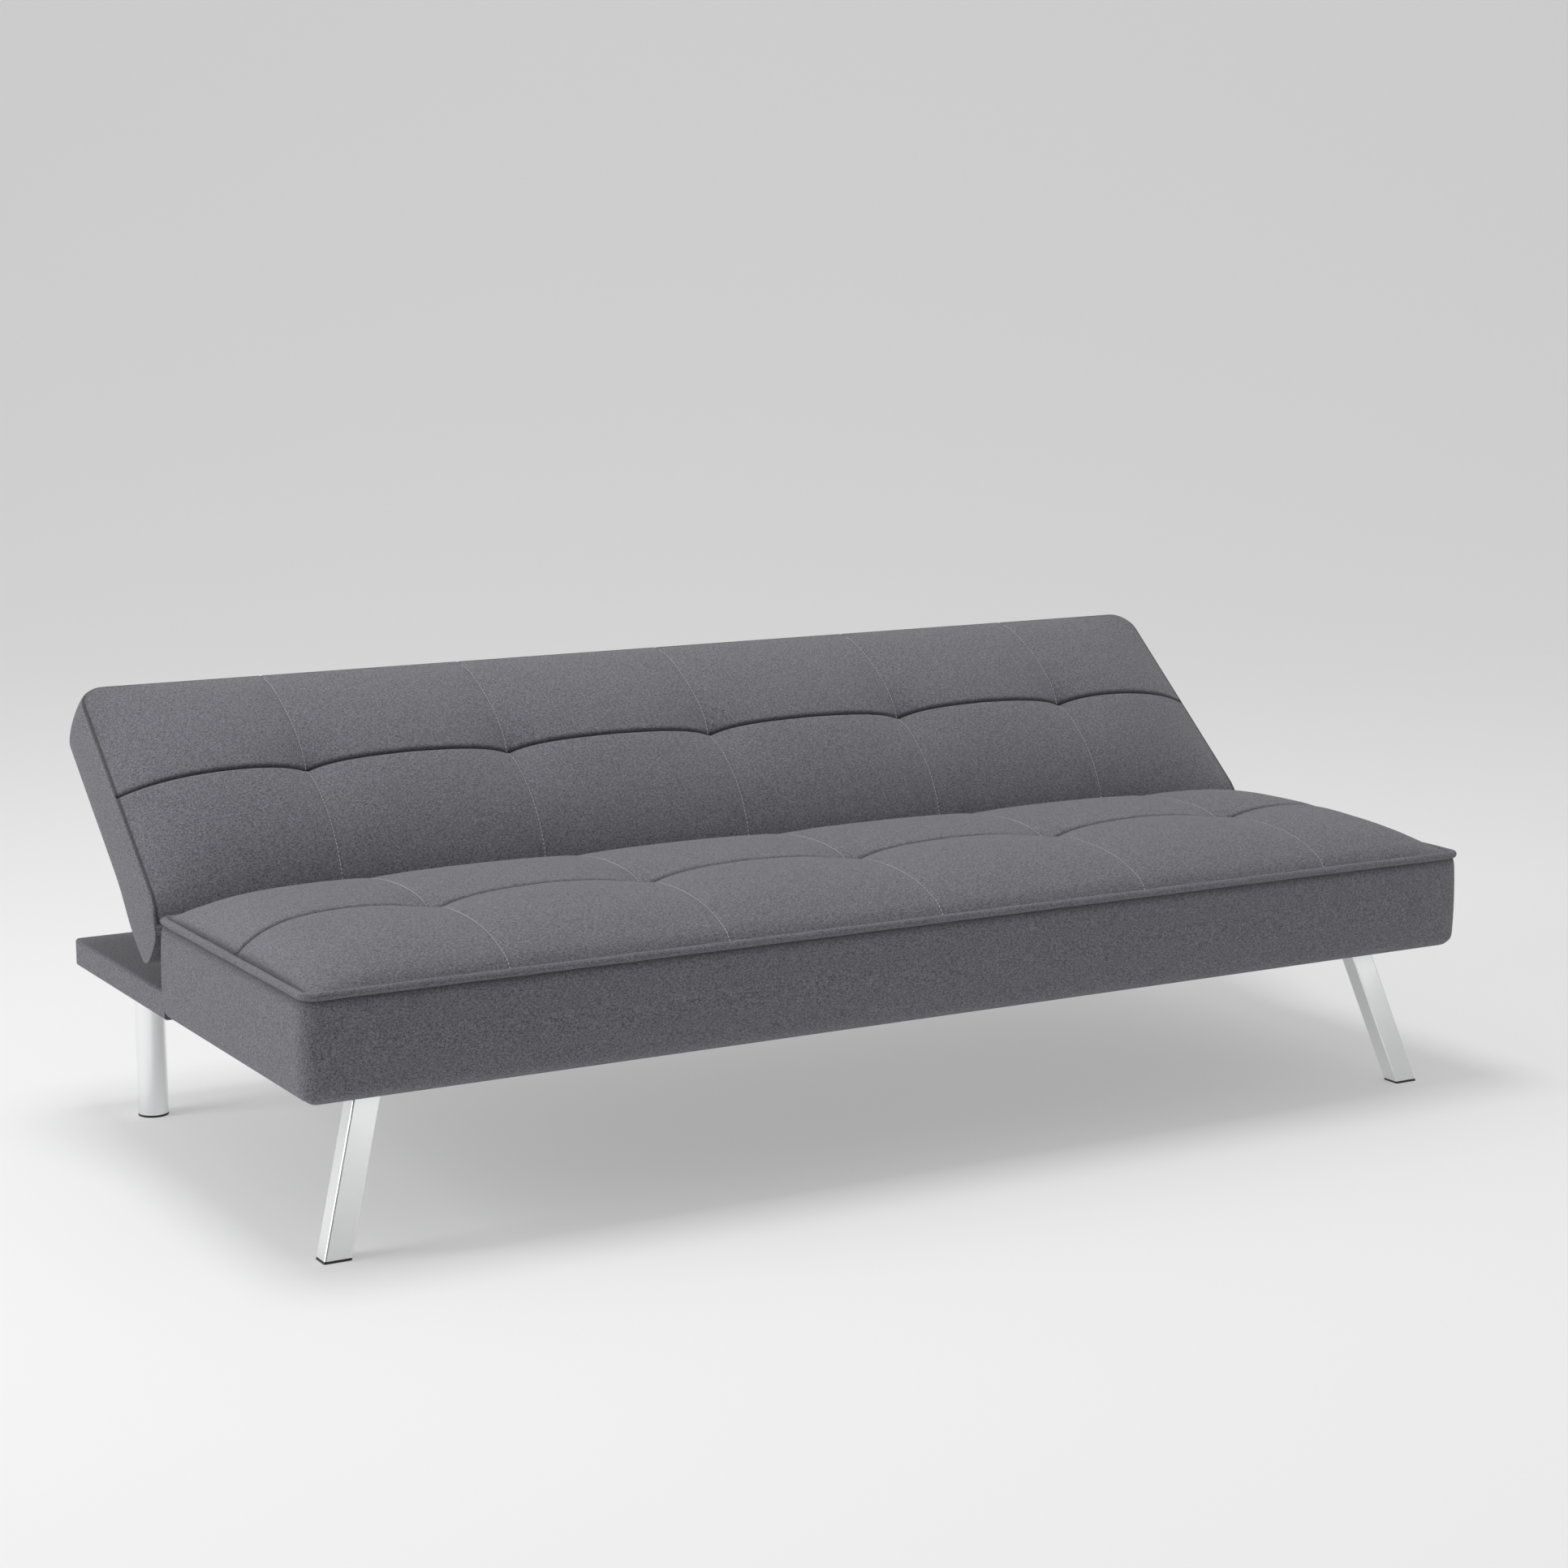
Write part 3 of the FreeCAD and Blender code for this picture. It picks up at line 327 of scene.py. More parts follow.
def lattice_shell(counts):
    """The outside of a block of cells: each point's (i, j, k), and its quads, facing outwards."""
    number = np.full([count + 1 for count in counts], -1)
    places = [spot for spot in np.ndindex(number.shape)
              if any(index in (0, count) for index, count in zip(spot, counts))]
    for index, spot in enumerate(places):
        number[spot] = index
    quads = []
    for axis, count in enumerate(counts):
        for end in (0, count):
            side = np.take(number, end, axis)
            corners = side[:-1, :-1], side[1:, :-1], side[1:, 1:], side[:-1, 1:]
            if (end > 0) == (axis == 1):
                corners = corners[::-1]
            quads += np.stack([corner.ravel() for corner in corners], 1).tolist()
    return np.array(places), quads


def graded(marks, near, growth, widest):
    """Grid lines from mark to mark, close together beside a mark and wider apart between."""
    lines = [marks[0]]
    for start, stop in zip(marks, marks[1:]):
        half = (stop - start) / 2
        offsets, step = [0.0], near
        while offsets[-1] + step < half:
            offsets.append(offsets[-1] + step)
            step = min(step * growth, widest)
        offsets = [offset * half / offsets[-1] for offset in offsets]
        lines += [start + offset for offset in offsets[1:]]
        lines += [stop - offset for offset in offsets[-2::-1]]
    return np.array(lines)


def spline_weights(knots, at):
    """Weights that read, at other places, the natural cubic through values at the knots."""
    knots, at = np.asarray(knots, float), np.asarray(at, float)
    count, gaps = len(knots), np.diff(knots)
    system, known, unit = np.eye(count), np.zeros((count, count)), np.eye(count)
    for index in range(1, count - 1):
        before, after = gaps[index - 1], gaps[index]
        system[index, index - 1:index + 2] = before, 2 * (before + after), after
        known[index, index - 1:index + 2] = 6 / before, -6 / before - 6 / after, 6 / after
    bend = np.linalg.solve(system, known)
    piece = np.clip(np.searchsorted(knots, at) - 1, 0, count - 2)
    gap = gaps[piece]
    low = (knots[piece + 1] - at) / gap
    high = 1 - low
    bend_low, bend_high = (low ** 3 - low) * gap ** 2 / 6, (high ** 3 - high) * gap ** 2 / 6
    return (low[:, None] * unit[piece] + high[:, None] * unit[piece + 1]
            + bend_low[:, None] * bend[piece] + bend_high[:, None] * bend[piece + 1])


def curve(points, at):
    """A smooth curve through a few (place, value) pairs, read at many places."""
    knots, values = np.array(points).T
    return spline_weights(knots, at) @ values


def round_corner(across, along, half, limit, way, radius):
    """Moves points of a square corner onto a round one.  The corner is where |across| is half
    and along is limit; way is 1 where along grows towards the corner."""
    a = np.clip(1 - (half - np.abs(across)) / radius, 0, 1)
    b = np.clip(1 - (limit - along) * way / radius, 0, 1)
    moved = np.abs(across) + radius * a * (np.sqrt(1 - b * b / 2) - 1)
    return np.sign(across) * moved, along + way * radius * b * (np.sqrt(1 - a * a / 2) - 1)


# ---------------------------------------------------------------- quilted cushions

SAG_SHARE, SAG_RUN = 0.16, 110 * MM      # how much lower the crown is towards its ends
CROSS_RUN, ALONG_RUN = 17 * MM, 15 * MM  # how far the valley beside each kind of seam spreads
TUFT_RUN_X, TUFT_RUN_Q = 46 * MM, 36 * MM
ARC_RUN = 80 * MM
CORNER_RUN = 60 * MM                     # over this run the swelling of the ends fades out
TUCK_START = 0.9                         # the level above which the sides tuck in
HEM, HEM_SLOPE, HEM_RISE = 41 * MM, 8 * MM, 3.5 * MM    # the seat's underside inside its return
SIDE_HEIGHT = 86 * MM
FACE_GRID = 0.9 * MM, 1.42, 12 * MM      # beside a mark, growth, widest
LEVEL_GRID = 0.014, 1.5, 0.09
CLOTH_GRID = 13 * MM, 1, 13 * MM
CLOTH_LEVELS = np.linspace(0, 1, 5)
CROSS_FOLD = 1.5 * MM, 1.3 * MM, 0.0     # half width, depth and painted shade of the folds
ALONG_FOLD = 4.5 * MM, 0.95              # depth and painted shade
# Painted shade along the sewn edges: how dark the band gets.
EDGE_SHADE = 0.85
CLOTH_STEPS = 20
TINY = 1e-9


class Cushion:
    """A closed quilted cushion, built flat: x along the sofa, q across the seat or up the back,
    h out of the face.

    seams: x of the cross seams.  marks: q of the low edge, the lengthwise seam and the high edge.
    outline: the section's face, rear, low and high sides as (q, h).  swell: the face's rise in q.
    dips: depth beside a cross and a lengthwise seam, depth of a tuft, run of the rise at the
    ends, half width of the lengthwise fold.  corners: (limit of q, way, radius) of each edge.
    foot_radius: rounding under the sides.  bulge and tuck: how far the sides swell and draw in.
    taper: how much smaller the corners get towards the rear.  arc: how far the lengthwise seam
    bows.  edge_shade_width: half width of the painted shade along the sewn edges."""

    def __init__(self, seams, marks, outline, swell, dips, corners,
                 foot_radius=0.0, bulge=0.0, tuck=0.0, taper=0.0, arc=0.0, edge_shade_width=1.6 * MM):
        self.seams, self.marks, self.outline, self.swell = seams, marks, outline, swell
        self.across = [-HALF, *seams, HALF]
        self.cross_dip, self.along_dip, self.tuft, self.rise, self.line = dips
        self.corners, self.foot_radius, self.bulge, self.tuck = corners, foot_radius, bulge, tuck
        self.taper, self.arc, self.edge_shade_width = taper, arc, edge_shade_width

    def crown(self, x, q):
        """Face heights above the sewn edge: a domed face, drawn down along each seam and
        tufted where two seams cross."""
        swell = curve(self.swell, q)[None, :]
        inside = (HALF - np.abs(x))[:, None]
        edge = (1 - np.exp(-inside / self.rise)) * (1 - SAG_SHARE * np.exp(-inside / SAG_RUN))
        gap_x = np.min(np.abs(x[:, None] - np.array(self.seams)), 1)[:, None]
        gap_q = np.abs(q - self.marks[1])[None, :]
        full = swell / swell.max()
        heights = edge * swell - self.cross_dip * np.exp(-gap_x / CROSS_RUN) * full
        heights = heights - self.along_dip * np.exp(-gap_q / ALONG_RUN) * edge
        reach = np.hypot(gap_x / TUFT_RUN_X, gap_q / TUFT_RUN_Q)
        return heights - self.tuft * np.exp(-reach)

    def drawn(self, x, q):
        """How far each face point slides along q, so that the lengthwise seam bows between
        its crossings."""
        marks = np.array(self.across)
        bay = np.clip(np.searchsorted(marks, x, side="right") - 1, 0, len(marks) - 2)
        u = (x - marks[bay]) / (marks[bay + 1] - marks[bay])
        arch = np.abs(np.sin(math.pi * np.clip(u, 0, 1))) ** 0.7
        return self.arc * arch[:, None] * np.exp(-((q - self.marks[1]) / ARC_RUN) ** 2)[None, :]

    def points(self, x, q, t):
        """Every point of the shell, with its lattice place, for lines x, q and levels t."""
        places, quads = lattice_shell((len(x) - 1, len(q) - 1, len(t) - 1))
        i, j, k = places.T
        s = (q - q[0]) / (q[-1] - q[0])
        face, rear, start, stop = self.outline(s, t)
        level, step = t[k][:, None], s[j][:, None]
        section = (1 - level) * rear[j] + level * face[j] + (1 - step) * start[k] + step * stop[k]
        section = section - (1 - level) * ((1 - step) * start[0] + step * stop[0])
        section = section - level * ((1 - step) * start[-1] + step * stop[-1])
        px, pq, ph = x[i].copy(), section[:, 0].copy(), section[:, 1].copy()
        wall = np.abs(np.sin(math.pi * t[k])) ** 0.4 * self.bulge
        wall -= self.tuck * np.clip((t[k] - TUCK_START) / (1 - TUCK_START), 0, 1)
        inward = np.clip((HALF - np.abs(px)) / CORNER_RUN, 0, 1)
        if self.foot_radius:
            pq -= np.where(j == 0, wall * inward, 0)
            bottom = start[0][1]
            px, ph = round_corner(px, ph, HALF, bottom, -1, self.foot_radius)
            deep = -self.marks[0]
            shifted, ph = round_corner(np.minimum(pq, 0), ph, deep, bottom, -1, self.foot_radius)
            pq = np.where(pq < 0, shifted, pq)
            inside = np.minimum(HALF - np.abs(px), pq - self.marks[0]) - HEM
            ph += np.where(k == 0, HEM_RISE * np.clip(inside / HEM_SLOPE, 0, 1), 0)
        for limit, way, radius in self.corners:
            edge = limit(ph)
            px, pq = round_corner(px, pq, HALF, edge, way, radius * (1 - self.taper * (1 - t[k])))
        px += np.sign(px) * wall * (1 - inward)
        top = k == len(t) - 1
        ph[top] += self.crown(x, q)[i[top], j[top]]
        pq[top] += self.drawn(x, q)[i[top], j[top]]
        return np.stack([px, pq, ph], 1), places, quads


def inflate(shell, cushion, x, q, t, cap):
    """Cloth simulation: presses the loose cloth between the seams outwards, and returns how
    far each point of the face moved, at most cap."""
    points, places, quads = shell
    filling = make_mesh("filling", points, quads, FINISHES["foam"])
    i, j, k = places.T
    sewn = np.isin(x[i], cushion.across) | np.isin(q[j], cushion.marks) | (k < len(t) - 1)
    group = filling.vertex_groups.new(name="sewn")
    group.add(np.flatnonzero(sewn).tolist(), 1.0, "REPLACE")
    cloth = filling.modifiers.new("filling", "CLOTH")
    cloth.settings.quality = 6
    cloth.settings.mass = 0.2
    cloth.settings.tension_stiffness = 12
    cloth.settings.compression_stiffness = 12
    cloth.settings.shear_stiffness = 4
    cloth.settings.bending_stiffness = 0.4
    cloth.settings.vertex_group_mass = "sewn"
    cloth.settings.use_pressure = True
    cloth.settings.uniform_pressure_force = 4
    cloth.settings.effector_weights.gravity = 0
    for step in range(1, CLOTH_STEPS + 1):
        bpy.context.scene.frame_set(step)
    settled = filling.evaluated_get(bpy.context.evaluated_depsgraph_get()).data
    after = np.zeros(3 * len(points))
    settled.vertices.foreach_get("co", after)
    moved = after.reshape(-1, 3) - points
    bpy.data.objects.remove(filling)
    bpy.context.scene.frame_set(1)
    top = k == len(t) - 1
    field = np.zeros((len(x), len(q), 3))
    field[i[top], j[top]] = moved[top]
    length = np.linalg.norm(field, axis=2, keepdims=True)
    print("filling moved", round(float(length.max()) / MM, 1), "mm")
    return field * min(1.0, cap / float(length.max()))


def refine(field, cushion, coarse, fine):
    """Carries a field from the coarse grid to the fine one, bay by bay, so seams stay sharp."""
    wide = np.zeros((len(fine[0]), len(fine[1]), 3))
    for left, right in zip(cushion.across, cushion.across[1:]):
        for low, high in zip(cushion.marks, cushion.marks[1:]):
            picks = []
            for lines, start, stop in ((coarse[0], left, right), (fine[0], left, right),
                                       (coarse[1], low, high), (fine[1], low, high)):
                picks.append(np.flatnonzero((lines >= start - TINY) & (lines <= stop + TINY)))
            ci, fi, cj, fj = picks
            to_x = spline_weights(coarse[0][ci], fine[0][fi])
            to_q = spline_weights(coarse[1][cj], fine[1][fj])
            bay = field[np.ix_(ci, cj)]
            for axis in range(3):
                wide[np.ix_(fi, fj, [axis])] = (to_x @ bay[:, :, axis] @ to_q.T)[:, :, None]
    return wide


def build_cushion(name, cushion, cap, lay):
    """The finished cushion, and the lines of its cross seams: filled by the simulation, then its
    seams drawn in."""
    levels = graded([0, 1], *LEVEL_GRID)
    fine = [graded(marks, *FACE_GRID) for marks in (cushion.across, cushion.marks)]
    points, places, quads = cushion.points(*fine, levels)
    i, j, k = places.T
    top = k == len(levels) - 1
    coarse = [graded(marks, *CLOTH_GRID) for marks in (cushion.across, cushion.marks)]
    loose = cushion.points(*coarse, CLOTH_LEVELS)
    field = inflate(loose, cushion, *coarse, CLOTH_LEVELS, cap)
    points[top] += refine(field, cushion, coarse, fine)[i[top], j[top]]
    # Painted shade: shades darkens the folds and a band along the sewn edges; depths sinks the folds.
    shades, depths = np.zeros(len(points)), np.zeros(len(points))
    gap_x = np.min(np.abs(fine[0][:, None] - np.array(cushion.seams)), 1)
    gap_q = np.abs(fine[1] - cushion.marks[1])
    for gap, width, deep, dark in ((gap_x[i], *CROSS_FOLD), (gap_q[j], cushion.line, *ALONG_FOLD)):
        fold = np.exp(-(gap / width) ** 2) * top
        depths = np.maximum(depths, fold * deep)
        shades = np.maximum(shades, fold * dark)
    edge_x = HALF - np.abs(fine[0][i])
    edge_q = np.minimum(fine[1][j] - fine[1][0], fine[1][-1] - fine[1][j])
    edge = np.where(top, np.minimum(edge_x, edge_q), (1 - levels[k]) * SIDE_HEIGHT)
    shades = np.maximum(shades, EDGE_SHADE * np.exp(-(edge / cushion.edge_shade_width) ** 4))
    points[:, 2] -= depths
    made = make_mesh(name, lay(points), quads, FINISHES["grey_fabric"])
    painted_shade = made.data.attributes.new("painted_shade", "FLOAT", "POINT")
    painted_shade.data.foreach_set("value", shades.astype(np.float32))
    seams = []
    for x in cushion.seams:
        column = np.flatnonzero(top & (np.abs(fine[0][i] - x) < TINY))
        seams.append(lay(points[column[np.argsort(j[column])]]))
    return made, seams


def stitches(name, seams, normal, pitch=5.6 * MM, length=5.0 * MM, radius=0.8 * MM):
    """Short raised threads along the cross seams: each is thin at its ends and stands up in
    the middle."""
    sides, margin = 6, 9 * MM
    turns = np.linspace(0, 2 * math.pi, sides, endpoint=False)
    ring = [(math.cos(turn), math.sin(turn)) for turn in turns]
    points, faces = [], []
    for line in seams:
        run = np.concatenate([[0], np.cumsum(np.linalg.norm(np.diff(line, axis=0), axis=1))])
        start = margin
        while start + length < run[-1] - margin:
            base = len(points)
            centres = [np.array([np.interp(start + length * part, run, values) for values in line.T])
                       for part in (0.0, 0.5, 1.0)]
            ahead = centres[2] - centres[0]
            ahead /= np.linalg.norm(ahead)
            side = np.cross(ahead, normal)
            side /= np.linalg.norm(side)
            up = np.cross(side, ahead)
            for centre, swell, lift in zip(centres, (0.45, 1.0, 0.45), (0.2, 1.1, 0.2)):
                for a, b in ring:
                    points.append(centre + radius * (swell * a * side + (swell * b + lift) * up))
            for first in (base, base + sides):
                for n in range(sides):
                    after = (n + 1) % sides
                    faces.append((first + n, first + after, first + sides + after, first + sides + n))
            faces.append(tuple(base + n for n in reversed(range(sides))))
            faces.append(tuple(base + 2 * sides + n for n in range(sides)))
            start += pitch
    return make_mesh(name, points, faces, THREAD)


# ---------------------------------------------------------------- seat

FRONT, REAR = SEAT_LOW.y, SEAT_HIGH.y
SEAT_BOTTOM = SEAT_LOW.z
SEAT_SEAM = FRONT + 232 * MM


def seat_outline(s, t):
    q = FRONT + s * (REAR - FRONT)
    h = SEAT_BOTTOM + t * (EDGE - SEAT_BOTTOM)
    return (np.stack([q, np.full_like(q, EDGE)], 1), np.stack([q, np.full_like(q, SEAT_BOTTOM)], 1),
            np.stack([np.full_like(h, FRONT), h], 1), np.stack([np.full_like(h, REAR), h], 1))


SEAT_SWELL = [(FRONT + away * MM, rise * MM) for away, rise in (
    (0, -1), (6, 0), (13, 9), (29, 21), (60, 34), (100, 43), (162, 49), (238, 52),
    (310, 50), (360, 47), (400, 42), (435, 34), (458, 24), (468, 13), (473, 0), (476, -1))]

seat_cushion = Cushion(
    seams=[x * MM for x in (-583, -294, 8, 317, 611)], marks=[FRONT, SEAT_SEAM, REAR],
    outline=seat_outline, swell=SEAT_SWELL, dips=(3 * MM, 3 * MM, 20 * MM, 38 * MM, 3.4 * MM),
    corners=[(lambda h: FRONT, -1, 18 * MM), (lambda h: REAR, 1, 12 * MM)],
    foot_radius=17 * MM, bulge=6 * MM, tuck=3 * MM, edge_shade_width=6.5 * MM)
seat, seat_seams = build_cushion("seat_cushion", seat_cushion, 4 * MM, lambda points: points)
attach(seat, "base")
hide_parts("seat_cover", "seat_foam")
seat_thread = stitches("seat_stitches", seat_seams, np.array([0.0, 0.0, 1.0]))
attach(seat_thread, "base")


def rounded_loop(half, front, rear, front_radius, rear_radius, step):
    """Points of a closed path round a rectangle with round corners, anticlockwise."""
    corners = [(half, front, -90, front_radius), (half, rear, 0, rear_radius),
               (-half, rear, 90, rear_radius), (-half, front, 180, front_radius)]
    path = []
    for x, y, turn, radius in corners:
        centre = x - math.copysign(radius, x), y + (radius if turn in (-90, 180) else -radius)
        for angle in np.radians(np.linspace(turn, turn + 90, 11)):
            path.append((centre[0] + radius * math.cos(angle), centre[1] + radius * math.sin(angle)))
    filled = []
    for (x, y), (next_x, next_y) in zip(path, path[1:] + path[:1]):
        count = max(1, round(math.hypot(next_x - x, next_y - y) / step))
        filled += [(x + (next_x - x) * n / count, y + (next_y - y) * n / count) for n in range(count)]
    return np.array(filled)


def piping():
    """The welt round the seat's top edge: a cloth-covered cord with a slightly uneven skin, that
    stands proud of the seat's front and ends."""
    proud, front_corner, rear_corner, step, sides = 3 * MM, 16 * MM, 9.5 * MM, 6 * MM, 14
    path = rounded_loop(CORD_HIGH.x - CORD_RADIUS + proud, CORD_LOW.y + CORD_RADIUS - proud,
                        CORD_HIGH.y - CORD_RADIUS, front_corner, rear_corner, step)
    ahead = np.roll(path, -1, 0) - np.roll(path, 1, 0)
    ahead /= np.linalg.norm(ahead, axis=1, keepdims=True)
    run = np.cumsum(np.linalg.norm(path - np.roll(path, 1, 0), axis=1))
    points = []
    for (x, y), (dx, dy), along in zip(path, ahead, run):
        for n in range(sides):
            angle = 2 * math.pi * n / sides
            uneven = 1 + 0.03 * math.sin(47 * along + 2 * angle) + 0.02 * math.sin(131 * along)
            out = CORD_RADIUS * uneven * math.cos(angle)
            up = CORD_RADIUS * uneven * math.sin(angle)
            points.append((x + dy * out, y - dx * out, CORD_HIGH.z - CORD_RADIUS + up))
    count = len(path)
    quads = []
    for m in range(count):
        for n in range(sides):
            here, there = m * sides, (m + 1) % count * sides
            after = (n + 1) % sides
            quads.append((there + n, there + after, here + after, here + n))
    return make_mesh("seat_welt", points, quads, FINISHES["piping_fabric"])


welt = piping()
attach(welt, "base")
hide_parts("seat_piping")


# ---------------------------------------------------------------- back

# Measured from the hinge pins, with the back flat: q up the back, h out of its face.
BACK_TOP = 394 * MM
BACK_FACE, BACK_REAR = 30 * MM, -56 * MM
FACE_START = 8 * MM
BACK_SEAM = 205 * MM
REAR_START, REAR_STOP = 20 * MM, 381 * MM
LIP_DEPTH, LIP_START, LIP_RUN = 16 * MM, 46 * MM, 38 * MM    # the face falls away to its low edge

BELLY = [(q * MM, h * MM) for q, h in (
    (20, -64), (45, -67.5), (80, -66), (125, -58), (170, -56), (280, -56.5), (381, -56))]
LOW_Q = [(t, q * MM) for t, q in (
    (0, 20), (0.12, 6), (0.28, -7), (0.45, -12.6), (0.65, -12.6), (0.82, -7.5), (0.93, 1.5), (1, 8))]
LOW_H = [(t, h * MM) for t, h in (
    (0, -64), (0.12, -58), (0.28, -45), (0.45, -27), (0.65, -6), (0.82, 7.5), (0.93, 12), (1, 14))]
BACK_SWELL = [(q * MM, rise * MM) for q, rise in (
    (8, 0), (20, -6), (38, 0), (60, 15), (80, 25), (105, 34), (138, 40), (175, 44), (218, 45),
    (255, 43), (293, 38), (325, 31), (350, 24), (372, 14), (386, 5), (394, 0))]


def back_outline(s, t):
    q = FACE_START + s * (BACK_TOP - FACE_START)
    lip = BACK_FACE - LIP_DEPTH * np.clip((LIP_START - q) / LIP_RUN, 0, 1) ** 2
    rear_q = REAR_START + s * (REAR_STOP - REAR_START)
    h = BACK_REAR + t * (BACK_FACE - BACK_REAR)
    return (np.stack([q, lip], 1), np.stack([rear_q, curve(BELLY, rear_q)], 1),
            np.stack([curve(LOW_Q, t), curve(LOW_H, t)], 1),
            np.stack([REAR_STOP + t * (BACK_TOP - REAR_STOP), h], 1))


def lean(points):
    """From the flat back to its place at rest, turned about the hinge pins."""
    x, q, h = points.T
    return np.stack([x, PIN.y + q * math.cos(LEAN) - h * math.sin(LEAN),
                     PIN.z + q * math.sin(LEAN) + h * math.cos(LEAN)], 1)


def top_edge(h):
    """The back's top edge leans: q at each height."""
    share = np.clip((h - BACK_REAR) / (BACK_FACE - BACK_REAR), 0, 1)
    return REAR_STOP + (BACK_TOP - REAR_STOP) * share


back_cushion = Cushion(
    seams=[x * MM for x in (-587, -299, 10, 320, 601)], marks=[FACE_START, BACK_SEAM, BACK_TOP],
    outline=back_outline, swell=BACK_SWELL, dips=(5 * MM, 4 * MM, 17 * MM, 60 * MM, 2.3 * MM),
    corners=[(top_edge, 1, 32 * MM)], bulge=8 * MM, taper=0.55, arc=2 * MM)
back, back_seams = build_cushion("back_cushion", back_cushion, 5 * MM, lean)
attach(back, "back")
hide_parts("back_cover", "back_foam")
back_thread = stitches("back_stitches", back_seams, np.array([0.0, -math.sin(LEAN), math.cos(LEAN)]))
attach(back_thread, "back")


# ---------------------------------------------------------------- platform and underside

def wrap():
    """Fabric stretched round the platform, drawn tight over its edges."""
    grid, thin_grid = (1.2 * MM, 1.5, 24 * MM), (1.2 * MM, 1.5, 6 * MM)
    edge_radius, corner_radius = 4 * MM, 12 * MM
    x = graded([WRAP_LOW.x, WRAP_HIGH.x], *grid)
    y = graded([WRAP_LOW.y, WRAP_HIGH.y], *grid)
    z = graded([WRAP_LOW.z, WRAP_HIGH.z], *thin_grid)
    places, quads = lattice_shell((len(x) - 1, len(y) - 1, len(z) - 1))
    i, j, k = places.T
    px, py, pz = x[i], y[j], z[k]
    middle = (WRAP_LOW.y + WRAP_HIGH.y) / 2
    for limit, way in ((WRAP_LOW.z, -1), (WRAP_HIGH.z, 1)):
        px, pz = round_corner(px, pz, HALF, limit, way, edge_radius)
        behind, pz = round_corner(np.maximum(py - middle, 0), pz, WRAP_HIGH.y - middle,
                                  limit, way, edge_radius)
        py = np.where(py > middle, behind + middle, py)
    px, py = round_corner(px, py, HALF, WRAP_HIGH.y, 1, corner_radius)
    pull = 0.5 * MM * (np.sin(9 * px + 1.3) * np.sin(17 * py + 0.4) - 1.2)
    pz = pz + np.where(k == len(z) - 1, pull, 0)
    return make_mesh("platform_wrap", np.stack([px, py, pz], 1), quads, FINISHES["grey_fabric"])


platform = wrap()
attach(platform, "base")
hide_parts("platform_cover")


def underside_sheet():
    """Thin cloth stapled under the seat, pulled into faint creases between its staples."""
    cells = 160, 60, 1
    stapled, fade, sag, depth = 42 * MM, 60 * MM, 0.6 * MM, 0.35 * MM
    x = np.linspace(SHEET_LOW.x, SHEET_HIGH.x, cells[0] + 1)
    y = np.linspace(SHEET_LOW.y, SHEET_HIGH.y, cells[1] + 1)
    places, quads = lattice_shell(cells)
    i, j, k = places.T
    px, py = x[i], y[j]
    gap = np.minimum(HALF - stapled - np.abs(px), np.minimum(py - y[0], y[-1] - py))
    crease = np.sin(70 * px) * np.exp(-(py - y[0]) / (50 * MM))
    crease += np.sin(63 * py) * np.exp((np.abs(px) - x[-1]) / (50 * MM))
    pz = np.where(k == 1, SHEET_HIGH.z, SHEET_LOW.z + 0.2 * MM)
    pz = pz - sag * np.clip(gap / fade, 0, 1) - depth * crease
    return make_mesh("underside_sheet", np.stack([px, py, pz], 1), quads, FINISHES["dust_sheet"])


dust_sheet = underside_sheet()
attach(dust_sheet, "base")
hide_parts("seat_dust_cover")


# ---------------------------------------------------------------- studio

def studio():
    """A pale floor, glowing slightly, that sweeps up behind the sofa as the camera sees it."""
    finish = plain_matte("studio_floor", (0.47, 0.47, 0.47))
    surface = finish.node_tree.nodes["Principled BSDF"]
    surface.inputs["Emission Color"].default_value = (1, 1, 1, 1)
    surface.inputs["Emission Strength"].default_value = 0.35
    reach, turn, radius, top, half_width = 9.0, 4.5, 3.0, 9.0, 12.0
    profile = [(-reach, 0.0), (turn, 0.0)]
    profile += [(turn + radius * math.sin(a), radius * (1 - math.cos(a)))
                for a in np.linspace(0.05, math.pi / 2, 24)]
    profile += [(turn + radius, top)]
    heading = math.radians(-30)
    points = []
    for away, height in profile:
        for across in (-half_width, half_width):
            points.append((across * math.cos(heading) - away * math.sin(heading),
                           across * math.sin(heading) + away * math.cos(heading), height))
    quads = [(2 * n, 2 * n + 1, 2 * n + 3, 2 * n + 2) for n in range(len(profile) - 1)]
    floor = make_mesh("studio_floor", points, quads, finish)


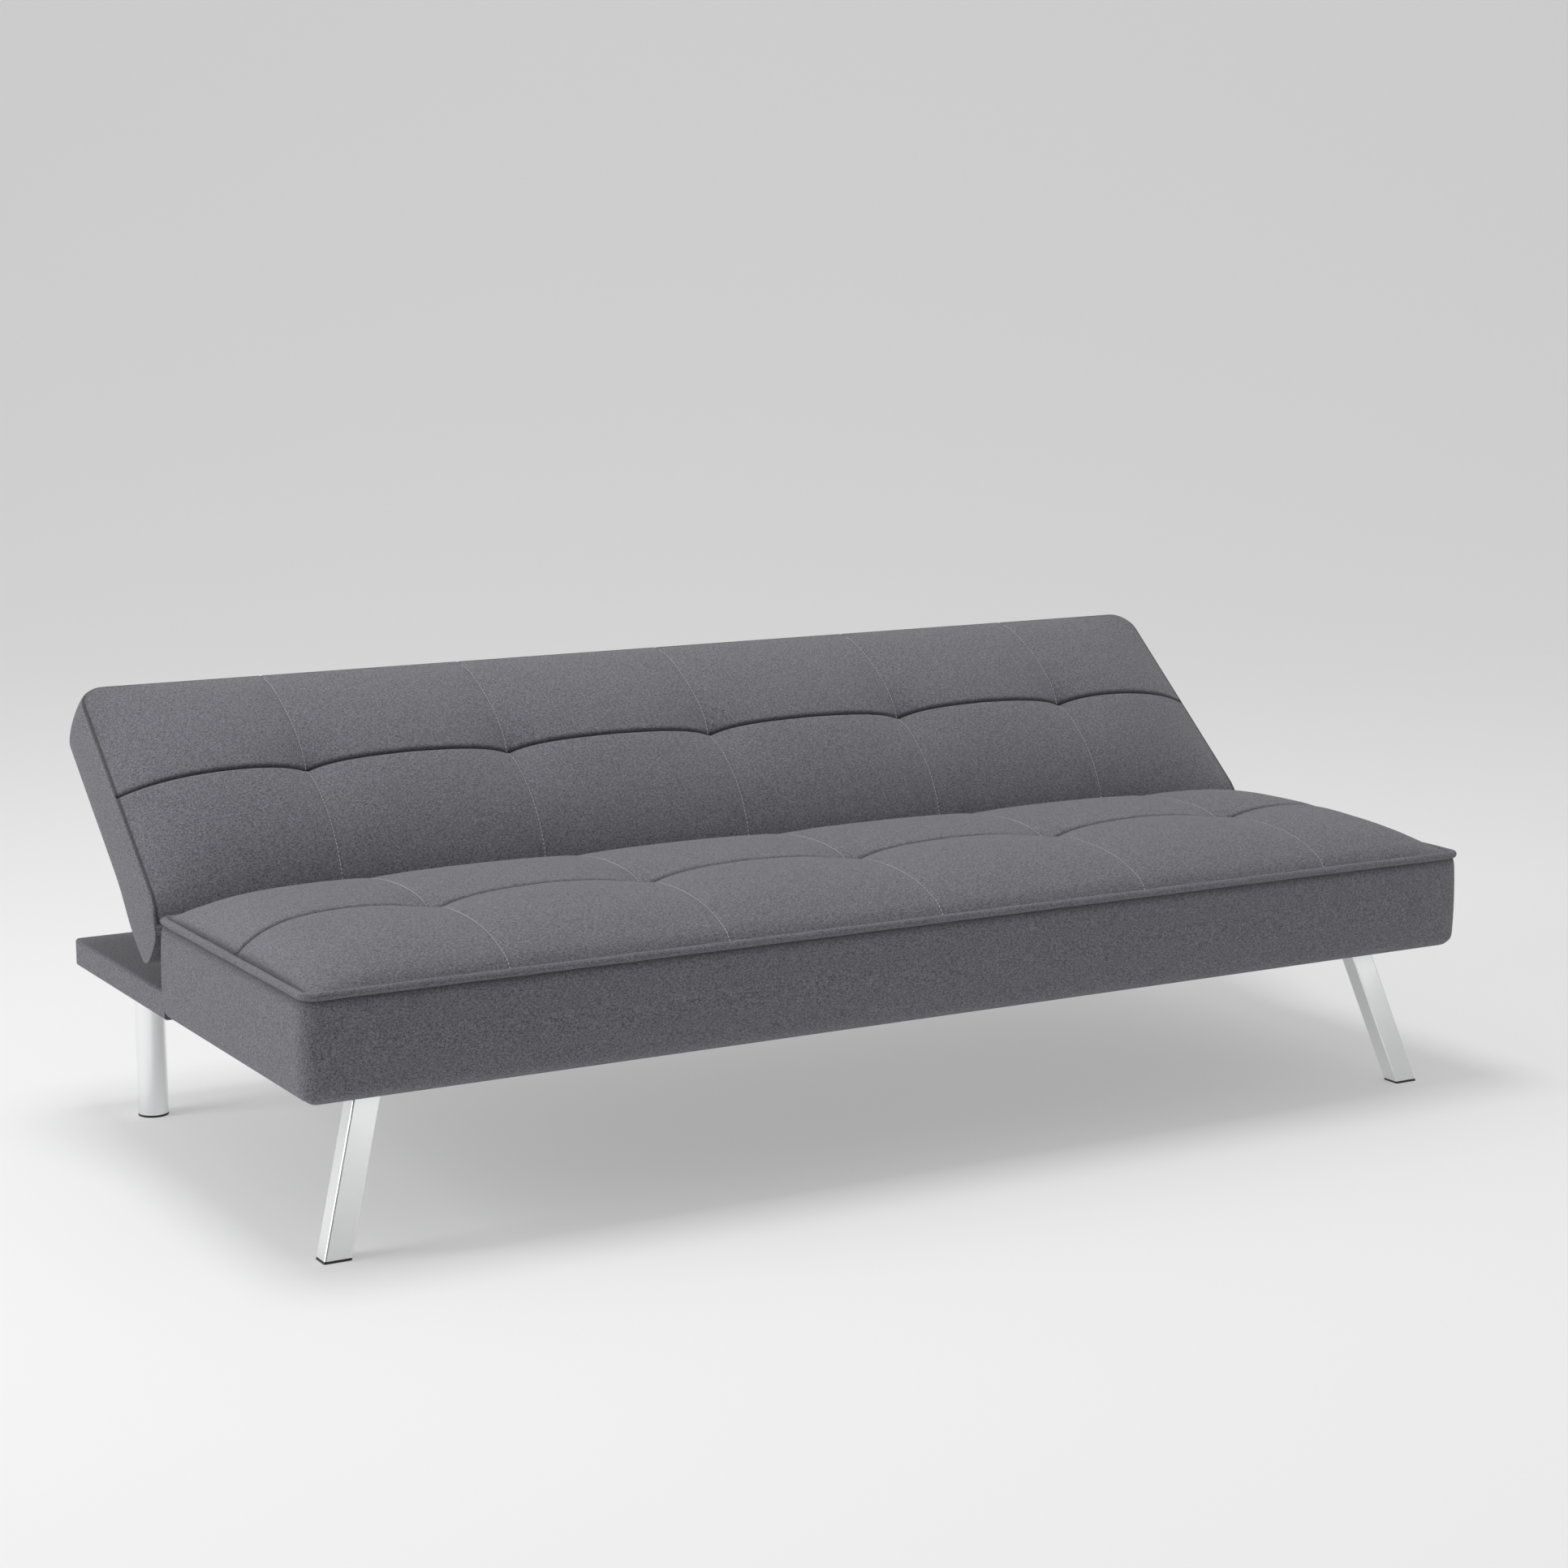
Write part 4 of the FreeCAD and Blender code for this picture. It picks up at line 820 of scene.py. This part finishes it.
def lamp(name, place_at, target, size, power):
    data = bpy.data.lights.new(name, "AREA")
    data.shape = "RECTANGLE"
    data.size, data.size_y = size
    data.energy = power
    made = bpy.data.objects.new(name, data)
    made.location = place_at
    made.rotation_euler = (Vector(target) - Vector(place_at)).to_track_quat("-Z", "Y").to_euler()
    bpy.context.scene.collection.objects.link(made)


def camera():
    data = bpy.data.cameras.new("camera")
    data.lens = 73.65
    data.sensor_width = 36
    made = bpy.data.objects.new("camera", data)
    made.location = (-2.1075, -3.6864, 1.1605)
    made.rotation_euler = (math.radians(90 - 9.76), 0, math.radians(-29.95))
    bpy.context.scene.collection.objects.link(made)
    bpy.context.scene.camera = made


def surroundings():
    """Even light that is weaker from the front, seen as a plain pale backdrop."""
    world = bpy.data.worlds.new("studio")
    world.use_nodes = True
    tree = world.node_tree
    source = tree.nodes.new("ShaderNodeTexCoord")
    parts = tree.nodes.new("ShaderNodeSeparateXYZ")
    level = tree.nodes.new("ShaderNodeMapRange")
    level.inputs["From Min"].default_value = -1.0
    level.inputs["From Max"].default_value = 0.3
    level.inputs["To Min"].default_value = 0.18
    level.inputs["To Max"].default_value = 0.72
    path = tree.nodes.new("ShaderNodeLightPath")
    seen = tree.nodes.new("ShaderNodeMix")
    seen.inputs["B"].default_value = 0.62
    tree.links.new(source.outputs["Generated"], parts.inputs[0])
    tree.links.new(parts.outputs["Y"], level.inputs["Value"])
    tree.links.new(path.outputs["Is Camera Ray"], seen.inputs["Factor"])
    tree.links.new(level.outputs["Result"], seen.inputs["A"])
    tree.links.new(seen.outputs["Result"], tree.nodes["Background"].inputs["Strength"])
    tree.nodes["Background"].inputs["Color"].default_value = (1, 1, 1, 1)
    bpy.context.scene.world = world


studio()
lamp("left", (-4.2, 0.6, 1.9), (-0.5, 0, 0.3), (1.8, 1.8), 75)
lamp("top", (-0.5, 0.1, 4.0), (-0.1, 0, 0), (1.6, 1.2), 72)
lamp("front", (2.0, -3.9, 1.2), (0.2, -0.3, 0.1), (4.4, 1.4), 20)
camera()
surroundings()
bpy.context.scene.view_settings.view_transform = "Standard"
